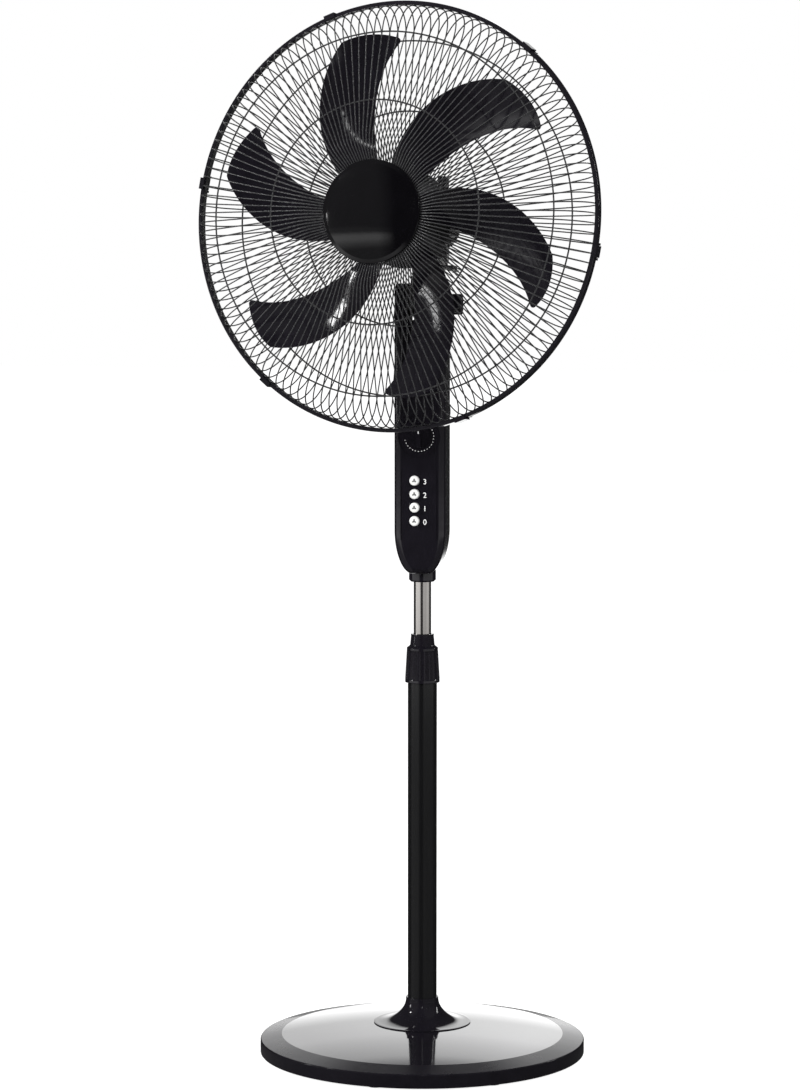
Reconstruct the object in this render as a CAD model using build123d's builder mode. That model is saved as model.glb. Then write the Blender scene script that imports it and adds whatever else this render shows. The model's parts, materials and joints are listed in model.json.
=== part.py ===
"""Pedestal fan on a round base: telescopic pole, switch column, tilting and oscillating head.

Millimetres, +Z up, front towards -Y. The origin is the centre of the base on the floor.
The head is drawn in its own plane, `head`: x to the right, y up, z out through the front
grille, with the plane of the guard rim at z = 0. A depth below means that z, and a profile
of a turned head part is a list of (radius, depth) points.
"""
from build123d import *
from math import cos, radians, sin, tan
import os

# ---------------------------------------------------------------- driving dimensions
# fits and gaps
fit_gap = 0.05            # a fixed piece in its seat
running_gap = 0.06        # a pin or shaft that turns in its bore
free_gap = 0.4            # between pieces that pass each other
cut_margin = 5            # how far a cut runs past what it cuts

# base
base_radius = 201
feet_height = 2.5
foot_radius = 11
foot_edge = 0.8
foot_count = 8            # in the ring, with one more in the centre
foot_inset = 18
foot_first_angle = 35.5
base_side_top = 19.5
bevel_width = 26
bevel_rise = 5.8
dome_top = 39.0
dome_bulge = 1.6
base_wall = 2.6
base_edge_round = 1.5
base_bottom_thickness = 2.0
weight_radius = 150
weight_thickness = 8
flange_radius = 34
flange_thickness = 3
flange_bolt_ring = 25.5
flange_bolt_radius = 3
flange_bolt_boss = 6
flange_bolt_count = 4
bolt_head_radius = 4.4
bolt_head_height = 3.5
flare_foot_radius = 60
flare_top_radius = 20.2
flare_top = 71.0
flare_wall = 2.0
flare_foot_edge = 1.4
spigot_height = 30

# pole
outer_tube_radius = 18
outer_tube_wall = 1.5
outer_tube_top = 470
inner_tube_radius = 10.75
inner_tube_wall = 1.0
inner_tube_bottom = 140
bush_depth_in_tube = 30
bush_collar_radius = 17.2
bush_slit = 1.2
bush_slit_count = 4
bush_slit_start = 10      # below the cone
bush_collar_length = 32
bush_cone_length = 13
bush_tip_radius = 12.4
nut_overlap = 5           # over the outer tube
nut_cone_cover = 6        # from the foot of the bush's cone up to the shoulder
nut_shoulder_rise = 3
nut_end_length = 10       # above the bush
nut_bottom_radius = 21.4
nut_shoulder_radius = 19.2
nut_neck_radius = 15.2
nut_top_radius = 14.0
nut_flute_count = 20
nut_flute_radius = 1.6
nut_flute_inset = 0.64
nut_flute_end = 4

# switch column
column_width = 63
column_front = 30
column_back = 26
column_bottom = 601
column_toe_width = 23     # half axes of the elliptical lower corners
column_toe_height = 54
column_edge_radius = 9
column_wall = 2.4
rib_offset = 22
rib_width = 1.6
rib_depth = 0.8
socket_drop = 11          # below the column
socket_rim_radius = 16.6
socket_rim_edge = 2
socket_sleeve_radius = 14.5
socket_length = 62
socket_roof = 5
fixing_screw_rise = 27    # above the bottom of the column
fixing_screw_radius = 2.5
fixing_screw_bite = 2
fixing_knob_radius = 8
fixing_knob_length = 12
fixing_knob_gap = 1
fixing_knob_flute = 1.2
fixing_knob_flutes = 8
button_rise = 66          # lowest button above the bottom of the column
button_pitch = 16.5
button_count = 4
button_offset = -5.4
button_radius = 6
button_edge = 1.6
button_proud = 4.5
button_travel = 3.5
button_flange = 1.5
button_play = 0.2         # behind the front wall
stem_width = 4
stem_height = 6
stem_length = 7.5
switch_width = 24
switch_margin = 6
switch_depth = 16
switch_gap = 1
switch_post = 3
dial_rise = 53.5          # dial above the highest button
dial_dish_radius = 26
dial_dish_depth = 1.6
timer_knob_radius = 13
timer_knob_length = 9
timer_knob_draft = 3
timer_knob_edge = 1.2
timer_knob_plate = 2.5
timer_grip_width = 6
timer_shaft_radius = 3
timer_body_size = 38
timer_body_corner = 3
timer_body_depth = 18
timer_body_gap = 0.1
capacitor_rise = 62       # middle of the capacitor above the dial
capacitor_radius = 11
capacitor_edge = 1.5
capacitor_length = 34
column_rise = 126         # top of the column above the dial
column_screw_radius = 1.6
column_screw_boss = 4
column_screw_head = 3
column_screw_head_depth = 3
column_screw_head_gap = 1
column_screw_inset = 9
column_screw_tip = 4      # from the inside of the front wall
column_low_screw_rise = 49
column_high_screw_drop = 34
gland_rise = 51           # above the bottom of the column
gland_radius = 6
gland_flange_draft = 8
gland_bore_radius = 3.4
gland_flange_radius = 8
gland_flange_length = 4
gland_inside_length = 6

# tilt joint
pivot_rise = 34            # above the top of the column
fork_inner = 16
fork_ear_radius = 26
fork_floor = 18            # below the pivot
fork_plug_depth = 18       # into the column
fork_plug_half_width = 22
fork_plug_half_depth = 18
tilt_bolt_radius = 4
tilt_bolt_head_radius = 7.2
tilt_bolt_head_height = 4
tilt_bolt_pocket = 5
tilt_bolt_end = 3          # short of the knob's face
tilt_knob_radius = 13
tilt_knob_neck_radius = 8
tilt_knob_neck_length = 4
tilt_knob_length = 13
tilt_knob_lobes = 6
tilt_knob_lobe_radius = 4
tilt_knob_lobe_offset = 2
tilt_knob_edge = 1.5
barrel_radius = 15
barrel_bottom = 24         # above the pivot, along the oscillation axis
barrel_shoulder = 34
barrel_neck_radius = 8.5
barrel_top = 49
pin_bore_floor = 2         # from the start of the barrel
pin_end_gap = 1
link_drop = 7.5            # link below the top of the barrel
link_post_offset = 22
link_post_radius = 5
link_post_end = 1          # above the link

# pose of the head as stored
tilt_angle = 6.0           # up
yaw_angle = 13.6           # towards -X
head_rise = 100            # motor axis above the tilt pivot
rim_forward = 78           # rim plane ahead of the oscillation axis
axis_offset = 5            # oscillation axis to the right of the motor axis

# guards
rim_radius = 259.5
rim_wall = 1.6
edge_ring_wire = 1.8       # radius of the wire
edge_ring_depth = 2.0
wire_end_depth = 0.6
guard_wire = 0.8           # radius of the wire
wire_sides = 12
ring_wire = 1.0
wire_count = 135
weld = 0.03                # how far welded wires bite into each other
shoulder_radius = 222
shoulder_depth = 45
crest_slope = 17           # degrees, front wires from crest to shoulder
crest_radius = 86
crest_bend = 25
hub_ring_radius = 58
hub_ring_depth = 74
hub_ring_wire = 1.6
front_ring_radii = (134, 218)
rear_depth = -29
rear_bend = 26
rear_ring_radii = (130, 215)
rear_plate_radius = 60
rear_plate_thickness = 1.2
rear_wire_start = 50
clip_count = 6
clip_first_angle = 50
clip_width = 14
clip_thickness = 1.4
clip_pin_radius = 1.2
clip_barrel_wall = 1
clip_hinge_inset = 2.2
clip_hook_overlap = 1
clip_lug = 3
clip_lug_half_width = 2.4

# centre cap
cap_radius = 62
cap_front = 91
cap_edge_depth = 76.8
cap_edge_thickness = 2.4
cap_wall = 2.0
cap_plate_thickness = 2.0
cap_rise = 10.5
cap_bevel = 5
cap_post_radius = 3
cap_post_count = 3
cap_post_ring = 40
cap_post_height = 13.2

# motor
boss_radius = 16
boss_bore_radius = 10.2
boss_front = -16
cover_face_depth = -31
cover_radius = 57
cover_wall = 2.0
cover_waist_radius = 46
cover_waist_depth = -62
cover_tail_radius = 30
cover_tail_gap = 12        # behind the gearbox
cover_bend = 14
saddle_opening = 1         # gap round the saddle
motor_front = -36
motor_back = -78
bell_radius = 42
bell_wall = 2.2
bell_seam = -58
bell_taper = 4
bell_side_length = 8
bell_boss_radius = 9.8
bell_nose_length = 12
core_front = -46
core_back = -64
rotor_radius = 23
air_gap = 0.5
winding_inner_radius = 26
winding_outer_radius = 35
winding_length = 6
bearing_radius = 8
front_bearing_length = 12
rear_bearing_length = 6.5
rear_bearing_seat = 7
rear_bearing_step = 3
shaft_radius = 4
shaft_front = 38
shaft_back = -127
guard_nut_radius = 30
guard_nut_length = 9
guard_nut_edge = 3
guard_nut_notches = 12
guard_nut_notch_radius = 1.8
guard_nut_notch_offset = 0.6

# blade
blade_count = 6
blade_tip_radius = 219
hub_radius = 38
hub_back = -6
hub_front = 28
hub_wall = 2.4
hub_boss_radius = 10
hub_edge = 4
hub_skirt = 2
blade_thickness = 2.6
blade_camber = 0.07
blade_lead_depth = 32
blade_root_trail_depth = 2
blade_tip_trail_depth = 12
blade_overhang = 6
blade_first_angle = 30
blade_sections = (-0.03, 0.12, 0.29, 0.45, 0.62, 0.78, 0.92, 1.06)    # shares of the blade's span
lead_edge_places = (0.29, 0.56, 0.81)
trail_edge_places = (0.76, 0.51, 0.23)
lead_edge_angles = (58.28, -25.43, -16.38)      # at the hub, with the span, with its square
trail_edge_angles = (22.2, -14.98, -9.83)
blade_tip_lead_inset = 2
blade_tip_trail_inset = 7
blade_tip_crown = 1
blade_tip_middle_angle = 9
blade_tip_lead_round = 7
blade_tip_trail_round = 4
spinner_radius = 17
spinner_length = 12
spinner_edge_radius = 5
spinner_edge_length = 4
drive_pin_radius = 1.5

# oscillation drive
wheel_x = 14
wheel_depth = -118
wheel_radius = 9
wheel_thickness = 6
wheel_teeth = 24
wheel_tooth_gap = 0.8
wheel_tooth_offset = 0.4
worm_radius = 4.6
worm_length = 16
clutch_shaft_radius = 3
clutch_shaft_foot = 2
clutch_shaft_head = 4
gearbox_back = -132
gearbox_left = -9
gearbox_right = 27
gearbox_half_height = 9.5
gearbox_wall = 2.4
gearbox_corner = 5
gearbox_web = 8
tower_radius = 10.5
tower_top = 44
knob_radius = 7
knob_top = 59
knob_edge = 1.2
saddle_top = -44
saddle_half_width = 18
saddle_thickness = 6.5
saddle_front = -62
saddle_corner = 6
pivot_pin_radius = 5
crank_disc_radius = 18.5
crank_disc_thickness = 4
crank_teeth = 48
crank_tooth_gap = 0.9
crank_tooth_offset = 0.5
crank_throw = 15
crank_pin_radius = 2.5
link_thickness = 3
link_width = 6
link_side_gap = 0.5
link_eye_radius = 5.5
link_open_radius = 6.6     # bore over the post of the opened pivot
link_open_eye_radius = 9

# ---------------------------------------------------------------- planes and helpers
button_heights = [column_bottom + button_rise + button_pitch * n for n in range(button_count)]
dial_height = button_heights[-1] + dial_rise
column_top = dial_height + column_rise
pivot_height = column_top + pivot_rise
socket_bottom = column_bottom - socket_drop
socket_top = socket_bottom + socket_length
inner_tube_top = socket_top - socket_roof
fixing_screw_height = column_bottom + fixing_screw_rise
gland_height = column_bottom + gland_rise
tilt = radians(tilt_angle)
yaw = radians(yaw_angle)
up = Vector(0, sin(tilt), cos(tilt))
straight_ahead = Vector(0, -cos(tilt), sin(tilt))
sideways = Vector(-1, 0, 0)
forward = straight_ahead * cos(yaw) + sideways * sin(yaw)
pivot_point = Vector(0, 0, pivot_height)
head_point = pivot_point + up * head_rise + forward * rim_forward - up.cross(forward) * axis_offset
head = Plane(head_point, x_dir=up.cross(forward), z_dir=forward)
head_axis = Axis(head_point, forward)
turned = Plane(head_point, x_dir=head.x_dir, z_dir=head.y_dir * -1)
neck = Plane(pivot_point, x_dir=(1, 0, 0), z_dir=up)
upright = Plane.XZ
behind = Plane(origin=(0, 0, 0), x_dir=(-1, 0, 0), z_dir=(0, 1, 0))

os.makedirs("parts", exist_ok=True)


def save(name, part):
    """Label one finished piece and write it."""
    part.label = name
    export_step(part, f"parts/{name}.step")


def level(height):
    """Head plane lying flat: x to the right, y to the back, at a height above the motor axis."""
    origin = head_point + head.y_dir * height
    return Plane(origin, x_dir=head.x_dir, z_dir=head.y_dir)


def at_depth(x, depth):
    """A point of a level() plane at a depth of the head."""
    return (x, -depth)


def tube(plane, outer, inner, length):
    """A plain tube standing on a plane."""
    with BuildPart() as body:
        with BuildSketch(plane):
            Circle(outer)
            Circle(inner, mode=Mode.SUBTRACT)
        extrude(amount=length)
    return body.part


def turned_piece(points):
    """A head part turned from its closed (radius, depth) outline."""
    with BuildPart() as body:
        with BuildSketch(turned):
            Polygon(*points, align=None)
        revolve(axis=head_axis)
    return body.part


# ---------------------------------------------------------------- base
dome_edge_radius = base_radius - bevel_width
dome_edge_height = base_side_top + bevel_rise
dome_mid = ((dome_edge_radius + flare_foot_radius) / 2, (dome_edge_height + dome_top) / 2 + dome_bulge)
weight_bottom = feet_height + base_bottom_thickness
weight_top = weight_bottom + weight_thickness
flange_top = dome_top + flange_thickness
inner_radius_of_base = base_radius - base_wall

with BuildPart() as base_cover:
    with BuildSketch(upright):
        with BuildLine():
            Polyline((0, dome_top), (flare_foot_radius, dome_top))
            ThreePointArc((flare_foot_radius, dome_top), dome_mid, (dome_edge_radius, dome_edge_height))
            Polyline(
                (dome_edge_radius, dome_edge_height), (base_radius, base_side_top),
                (base_radius, feet_height), (inner_radius_of_base, feet_height),
                (inner_radius_of_base, base_side_top - base_wall),
                (dome_edge_radius, dome_edge_height - base_wall),
                (flare_foot_radius, dome_top - base_wall), (0, dome_top - base_wall), (0, dome_top),
            )
        make_face()
    revolve(axis=Axis.Z)
    fillet(base_cover.edges().filter_by(GeomType.CIRCLE).filter_by(
        lambda edge: abs(edge.radius - base_radius) < 0.01 and edge.center().Z > base_side_top - base_wall),
        base_edge_round)
    with BuildSketch(Plane.XY.offset(weight_top)):
        with PolarLocations(flange_bolt_ring, flange_bolt_count):
            Circle(flange_bolt_boss)
    extrude(amount=dome_top - base_wall / 2 - weight_top)
    with BuildSketch(Plane.XY.offset(weight_top)):
        with PolarLocations(flange_bolt_ring, flange_bolt_count):
            Circle(flange_bolt_radius + fit_gap)
    extrude(amount=dome_top, mode=Mode.SUBTRACT)
save("base_cover", base_cover.part)

with BuildPart() as base_bottom:
    with BuildSketch(Plane.XY.offset(feet_height)):
        Circle(inner_radius_of_base - fit_gap)
    extrude(amount=base_bottom_thickness)
save("base_bottom", base_bottom.part)

with BuildPart() as base_feet:
    with BuildSketch(Plane.XY):
        with PolarLocations(base_radius - foot_inset, foot_count, start_angle=foot_first_angle):
            Circle(foot_radius)
        Circle(foot_radius)
    extrude(amount=feet_height)
    chamfer(base_feet.edges().group_by(Axis.Z)[0], foot_edge)
save("base_feet", base_feet.part)

with BuildPart() as base_weight:
    with BuildSketch(Plane.XY.offset(weight_bottom)):
        Circle(weight_radius)
        with PolarLocations(flange_bolt_ring, flange_bolt_count):
            Circle(flange_bolt_radius + fit_gap, mode=Mode.SUBTRACT)
    extrude(amount=weight_thickness)
save("base_weight", base_weight.part)

outer_tube_bore = outer_tube_radius - outer_tube_wall
with BuildPart() as pole_flange:
    with BuildSketch(Plane.XY.offset(dome_top)):
        Circle(flange_radius)
        with PolarLocations(flange_bolt_ring, flange_bolt_count):
            Circle(flange_bolt_radius + fit_gap, mode=Mode.SUBTRACT)
    extrude(amount=flange_thickness)
    with BuildSketch(Plane.XY.offset(flange_top)):
        Circle(outer_tube_bore - fit_gap)
        Circle(outer_tube_bore - outer_tube_wall, mode=Mode.SUBTRACT)
    extrude(amount=spigot_height)
save("pole_flange", pole_flange.part)

with BuildPart() as flange_bolts:
    with BuildSketch(Plane.XY.offset(weight_bottom)):
        with PolarLocations(flange_bolt_ring, flange_bolt_count):
            Circle(flange_bolt_radius)
    extrude(amount=flange_top - weight_bottom)
    with BuildSketch(Plane.XY.offset(flange_top)):
        with PolarLocations(flange_bolt_ring, flange_bolt_count):
            RegularPolygon(bolt_head_radius, 6)
    extrude(amount=bolt_head_height)
save("flange_bolts", flange_bolts.part)

flare_inner = outer_tube_radius + fit_gap
flare_foot_inner = flare_foot_radius - flare_wall * 2
with BuildPart() as flare_cover:
    with BuildSketch(upright):
        with BuildLine():
            Line((flare_foot_radius, dome_top), (flare_foot_radius, dome_top + flare_foot_edge))
            EllipticalCenterArc(
                (flare_foot_radius, flare_top - flare_wall), flare_foot_radius - flare_top_radius,
                flare_top - flare_wall - dome_top - flare_foot_edge, start_angle=180, arc_size=90)
            Polyline(
                (flare_top_radius, flare_top - flare_wall), (flare_top_radius, flare_top),
                (flare_inner, flare_top), (flare_inner, flare_top - flare_wall * 2),
            )
            EllipticalCenterArc(
                (flare_foot_inner, flare_top - flare_wall * 2), flare_foot_inner - flare_inner,
                flare_top - flare_wall * 2 - dome_top, start_angle=180, arc_size=90)
            Line((flare_foot_inner, dome_top), (flare_foot_radius, dome_top))
        make_face()
    revolve(axis=Axis.Z)
save("flare_cover", flare_cover.part)

# ---------------------------------------------------------------- pole
with BuildPart() as outer_tube:
    add(tube(Plane.XY.offset(flange_top), outer_tube_radius, outer_tube_bore, outer_tube_top - flange_top))
save("outer_tube", outer_tube.part)

bush_bore = inner_tube_radius + running_gap
bush_bottom = outer_tube_top - bush_depth_in_tube
bush_shoulder = outer_tube_top + bush_collar_length
bush_top = bush_shoulder + bush_cone_length
with BuildPart() as collet_bush:
    with BuildSketch(upright):
        Polygon(
            (bush_bore, bush_bottom), (outer_tube_bore - fit_gap, bush_bottom),
            (outer_tube_bore - fit_gap, outer_tube_top), (bush_collar_radius, outer_tube_top),
            (bush_collar_radius, bush_shoulder), (bush_tip_radius, bush_top),
            (bush_bore, bush_top), align=None,
        )
    revolve(axis=Axis.Z)
    with BuildSketch(Plane.XY.offset(bush_shoulder - bush_slit_start)):
        with PolarLocations(bush_collar_radius, bush_slit_count):
            Rectangle(bush_collar_radius, bush_slit)
    extrude(amount=bush_top, mode=Mode.SUBTRACT)
save("collet_bush", collet_bush.part)

nut_bottom = outer_tube_top - nut_overlap
nut_shoulder = bush_shoulder + nut_cone_cover
nut_top = bush_top + nut_end_length
nut_bore = bush_collar_radius + free_gap
nut_step = bush_top + 2 * free_gap
nut_seat = outer_tube_top + 2 * free_gap
with BuildPart() as lock_nut:
    with BuildSketch(upright):
        Polygon(
            (outer_tube_radius + free_gap, nut_bottom), (nut_bottom_radius, nut_bottom),
            (nut_shoulder_radius, nut_shoulder), (nut_neck_radius, nut_shoulder + nut_shoulder_rise),
            (nut_top_radius, nut_top), (inner_tube_radius + free_gap, nut_top),
            (inner_tube_radius + free_gap, nut_step), (bush_tip_radius + free_gap, nut_step),
            (nut_bore, bush_shoulder + free_gap), (nut_bore, nut_seat),
            (outer_tube_radius + free_gap, nut_seat), align=None,
        )
    revolve(axis=Axis.Z)
    with BuildSketch(Plane.XY.offset(nut_bottom + nut_flute_end)):
        with PolarLocations(nut_bottom_radius + nut_flute_inset, nut_flute_count):
            Circle(nut_flute_radius)
    extrude(amount=nut_shoulder - nut_bottom - 2 * nut_flute_end, mode=Mode.SUBTRACT)
save("lock_nut", lock_nut.part)

with BuildPart() as inner_tube:
    add(tube(Plane.XY.offset(inner_tube_bottom), inner_tube_radius, inner_tube_radius - inner_tube_wall,
             inner_tube_top - inner_tube_bottom))
    with BuildSketch(behind):
        with Locations((0, fixing_screw_height)):
            Circle(fixing_screw_radius + fit_gap)
    extrude(amount=column_back, mode=Mode.SUBTRACT)
save("inner_tube", inner_tube.part)

# ---------------------------------------------------------------- switch column
def column_solid(inset):
    """The outline of the column, drawn in by an inset."""
    half, low, high = column_width / 2 - inset, column_bottom + inset, column_top - inset
    toe_width, toe_height = column_toe_width - inset, column_toe_height - inset
    with BuildPart() as body:
        with BuildSketch(upright.offset(column_front - inset)):
            with BuildLine():
                Polyline((half, low + toe_height), (half, high), (-half, high), (-half, low + toe_height))
                EllipticalCenterArc((toe_width - half, low + toe_height), toe_width, toe_height,
                                    start_angle=180, arc_size=90)
                Line((toe_width - half, low), (half - toe_width, low))
                EllipticalCenterArc((half - toe_width, low + toe_height), toe_width, toe_height,
                                    start_angle=270, arc_size=90)
            make_face()
        extrude(amount=-(column_front + column_back - 2 * inset))
        front_and_back = body.faces().sort_by(Axis.Y)
        side_edges = (front_and_back[0].edges() + front_and_back[-1].edges()).filter_by(
            lambda edge: edge.center().Z < high - fit_gap)
        fillet(side_edges, column_edge_radius - inset)
    return body.part


fork_half_width = column_width / 2
fork_base = pivot_height - fork_floor
with BuildPart() as column_case:
    add(column_solid(0))
    add(column_solid(column_wall), mode=Mode.SUBTRACT)
    with BuildSketch(Plane.XY.offset(column_bottom - cut_margin)):
        Circle(socket_rim_radius + fit_gap)
    extrude(amount=column_wall + 2 * cut_margin, mode=Mode.SUBTRACT)
    with BuildSketch(Plane.XY.offset(column_top - column_wall - cut_margin)):
        Rectangle(2 * (fork_plug_half_width + fit_gap), 2 * (fork_plug_half_depth + fit_gap))
    extrude(amount=column_wall + 2 * cut_margin, mode=Mode.SUBTRACT)

screw_x = column_width / 2 - column_screw_inset
screw_heights = (column_bottom + column_low_screw_rise, column_top - column_high_screw_drop)
screw_places = [(side * screw_x, z) for side in (-1, 1) for z in screw_heights]
front_inside = column_front - column_wall
screw_tip_inside = front_inside - column_screw_tip
boss_bite = column_wall / 2

with BuildPart() as box_front:
    add(column_case.part)
    split(bisect_by=upright, keep=Keep.TOP)
    with BuildSketch(upright.offset(column_front)):
        with Locations((0, dial_height)):
            Circle(dial_dish_radius)
    extrude(amount=-dial_dish_depth, mode=Mode.SUBTRACT)
    with BuildSketch(upright):
        with Locations((0, dial_height)):
            Circle(timer_shaft_radius + free_gap)
        with Locations([(button_offset, z) for z in button_heights]):
            Circle(button_radius + free_gap)
    extrude(amount=column_front + cut_margin, mode=Mode.SUBTRACT)
    with BuildSketch(upright.offset(column_front)):
        with Locations([(side * rib_offset, (dial_height + column_bottom) / 2) for side in (-1, 1)]):
            Rectangle(rib_width, (dial_height - column_bottom) / 2)
    extrude(amount=-rib_depth, mode=Mode.SUBTRACT)
    with BuildSketch(upright):
        with Locations(screw_places):
            Circle(column_screw_boss)
    extrude(amount=front_inside + boss_bite)
    with BuildSketch(upright):
        with Locations(screw_places):
            Circle(column_screw_radius + fit_gap)
    extrude(amount=screw_tip_inside, mode=Mode.SUBTRACT)
save("box_front", box_front.part)

back_inside = column_back - column_wall
with BuildPart() as box_rear:
    add(column_case.part)
    split(bisect_by=upright, keep=Keep.BOTTOM)
    with BuildSketch(behind):
        with Locations(screw_places):
            Circle(column_screw_boss)
    extrude(amount=back_inside + boss_bite)
    with BuildSketch(behind):
        with Locations(screw_places):
            Circle(column_screw_radius + fit_gap)
        with Locations((0, fixing_screw_height)):
            Circle(fixing_screw_radius + free_gap)
        with Locations((0, gland_height)):
            Circle(gland_radius + fit_gap)
    extrude(amount=column_back + cut_margin, mode=Mode.SUBTRACT)
    with BuildSketch(behind.offset(column_back)):
        with Locations(screw_places):
            Circle(column_screw_head + fit_gap)
    extrude(amount=-column_screw_head_depth, mode=Mode.SUBTRACT)
save("box_rear", box_rear.part)

screw_head_seat = column_back - column_screw_head_depth
with BuildPart() as box_screws:
    with BuildSketch(behind.offset(-screw_tip_inside)):
        with Locations(screw_places):
            Circle(column_screw_radius)
    extrude(amount=screw_tip_inside + screw_head_seat)
    with BuildSketch(behind.offset(screw_head_seat)):
        with Locations(screw_places):
            Circle(column_screw_head)
    extrude(amount=column_screw_head_depth - column_screw_head_gap)
save("box_screws", box_screws.part)

with BuildPart() as tube_socket:
    with BuildSketch(upright):
        Polygon(
            (inner_tube_radius + fit_gap, socket_bottom),
            (socket_rim_radius - socket_rim_edge, socket_bottom),
            (socket_rim_radius, socket_bottom + socket_rim_edge),
            (socket_rim_radius, column_bottom + column_wall),
            (socket_sleeve_radius, column_bottom + column_wall), (socket_sleeve_radius, socket_top),
            (0, socket_top), (0, inner_tube_top), (inner_tube_radius + fit_gap, inner_tube_top),
            align=None,
        )
    revolve(axis=Axis.Z)
    with BuildSketch(behind):
        with Locations((0, fixing_screw_height)):
            Circle(fixing_screw_radius + fit_gap)
    extrude(amount=column_back, mode=Mode.SUBTRACT)
save("tube_socket", tube_socket.part)

fixing_screw_tip = inner_tube_radius - inner_tube_wall - fixing_screw_bite
fixing_knob_base = column_back + fixing_knob_gap
with BuildPart() as fixing_screw:
    with BuildSketch(behind.offset(fixing_screw_tip)):
        with Locations((0, fixing_screw_height)):
            Circle(fixing_screw_radius)
    extrude(amount=fixing_knob_base - fixing_screw_tip)
    with BuildSketch(behind.offset(fixing_knob_base)):
        with Locations((0, fixing_screw_height)):
            Circle(fixing_knob_radius)
            with PolarLocations(fixing_knob_radius, fixing_knob_flutes):
                Circle(fixing_knob_flute, mode=Mode.SUBTRACT)
    extrude(amount=fixing_knob_length)
save("fixing_screw", fixing_screw.part)

# timer: dial knob on the shaft of a clockwork body
timer_body_front = front_inside - timer_body_gap
with BuildPart() as timer_body:
    with BuildSketch(upright.offset(timer_body_front)):
        with Locations((0, dial_height)):
            Rectangle(timer_body_size, timer_body_size)
            Circle(timer_shaft_radius + running_gap, mode=Mode.SUBTRACT)
    extrude(amount=-timer_body_depth)
    fillet(timer_body.edges().filter_by(Axis.Y), timer_body_corner)
save("timer_body", timer_body.part)

knob_base = column_front - dial_dish_depth + free_gap
timer_shaft_end = timer_body_front - timer_body_depth / 2
with BuildPart() as timer_knob:
    with BuildSketch(upright.offset(timer_shaft_end)):
        with Locations((0, dial_height)):
            Circle(timer_shaft_radius)
    extrude(amount=knob_base - timer_shaft_end)
    with BuildSketch(upright.offset(knob_base)):
        with Locations((0, dial_height)):
            Circle(timer_knob_radius)
    extrude(amount=timer_knob_length, taper=timer_knob_draft)
    fillet(timer_knob.edges().sort_by(Axis.Y)[0], timer_knob_edge)
    with BuildSketch(upright.offset(knob_base + timer_knob_plate)):
        with Locations([(side * timer_knob_radius, dial_height) for side in (-1, 1)]):
            Rectangle(2 * timer_knob_radius - timer_grip_width, 3 * timer_knob_radius)
    extrude(amount=timer_knob_length, mode=Mode.SUBTRACT)
save("timer_knob", timer_knob.part)

# push buttons over the switch bank
button_back = front_inside - button_play
stem_top = button_back - button_flange
for number, height in enumerate(button_heights):
    with BuildPart() as button:
        with BuildSketch(upright.offset(button_back)):
            with Locations((button_offset, height)):
                Circle(button_radius)
        extrude(amount=button_play + column_wall + button_proud)
        fillet(button.edges().sort_by(Axis.Y)[0], button_edge)
        with BuildSketch(upright.offset(button_back)):
            with Locations((button_offset, height)):
                Circle(button_radius + button_flange)
        extrude(amount=-button_flange)
        with BuildSketch(upright.offset(stem_top)):
            with Locations((button_offset, height)):
                Rectangle(stem_width, stem_height)
        extrude(amount=-stem_length)
    save(f"button_{number}", button.part)

switch_front = stem_top - button_travel + button_play - switch_gap
switch_height = button_pitch * button_count + switch_margin
switch_middle = (button_heights[0] + button_heights[-1]) / 2
slot_depth = stem_length + button_travel + switch_gap - (stem_top - switch_front)
with BuildPart() as switch_body:
    with BuildSketch(upright.offset(switch_front)):
        with Locations((button_offset, switch_middle)):
            Rectangle(switch_width, switch_height)
    extrude(amount=-switch_depth)
    with BuildSketch(upright.offset(switch_front)):
        with Locations([(button_offset, z) for z in button_heights]):
            Rectangle(stem_width + 2 * free_gap, stem_height + 2 * free_gap)
    extrude(amount=-slot_depth, mode=Mode.SUBTRACT)
    with BuildSketch(upright.offset(front_inside)):
        with Locations([(button_offset, switch_middle + side * (switch_height - switch_post) / 2)
                        for side in (-1, 1)]):
            Rectangle(switch_width, switch_post)
    extrude(amount=switch_front - front_inside)
save("switch_body", switch_body.part)

with BuildPart() as capacitor:
    with BuildSketch(Plane.XY.offset(dial_height + capacitor_rise - capacitor_length / 2)):
        with Locations((0, back_inside - capacitor_radius)):
            Circle(capacitor_radius)
    extrude(amount=capacitor_length)
    fillet(capacitor.edges().filter_by(GeomType.CIRCLE), capacitor_edge)
save("capacitor", capacitor.part)

with BuildPart() as cord_gland:
    with BuildSketch(behind.offset(back_inside - gland_inside_length)):
        with Locations((0, gland_height)):
            Circle(gland_radius)
    extrude(amount=gland_inside_length + column_wall)
    with BuildSketch(behind.offset(column_back)):
        with Locations((0, gland_height)):
            Circle(gland_flange_radius)
    extrude(amount=gland_flange_length, taper=gland_flange_draft)
    with BuildSketch(behind):
        with Locations((0, gland_height)):
            Circle(gland_bore_radius)
    extrude(amount=column_back * 2, mode=Mode.SUBTRACT)
save("cord_gland", cord_gland.part)

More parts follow.
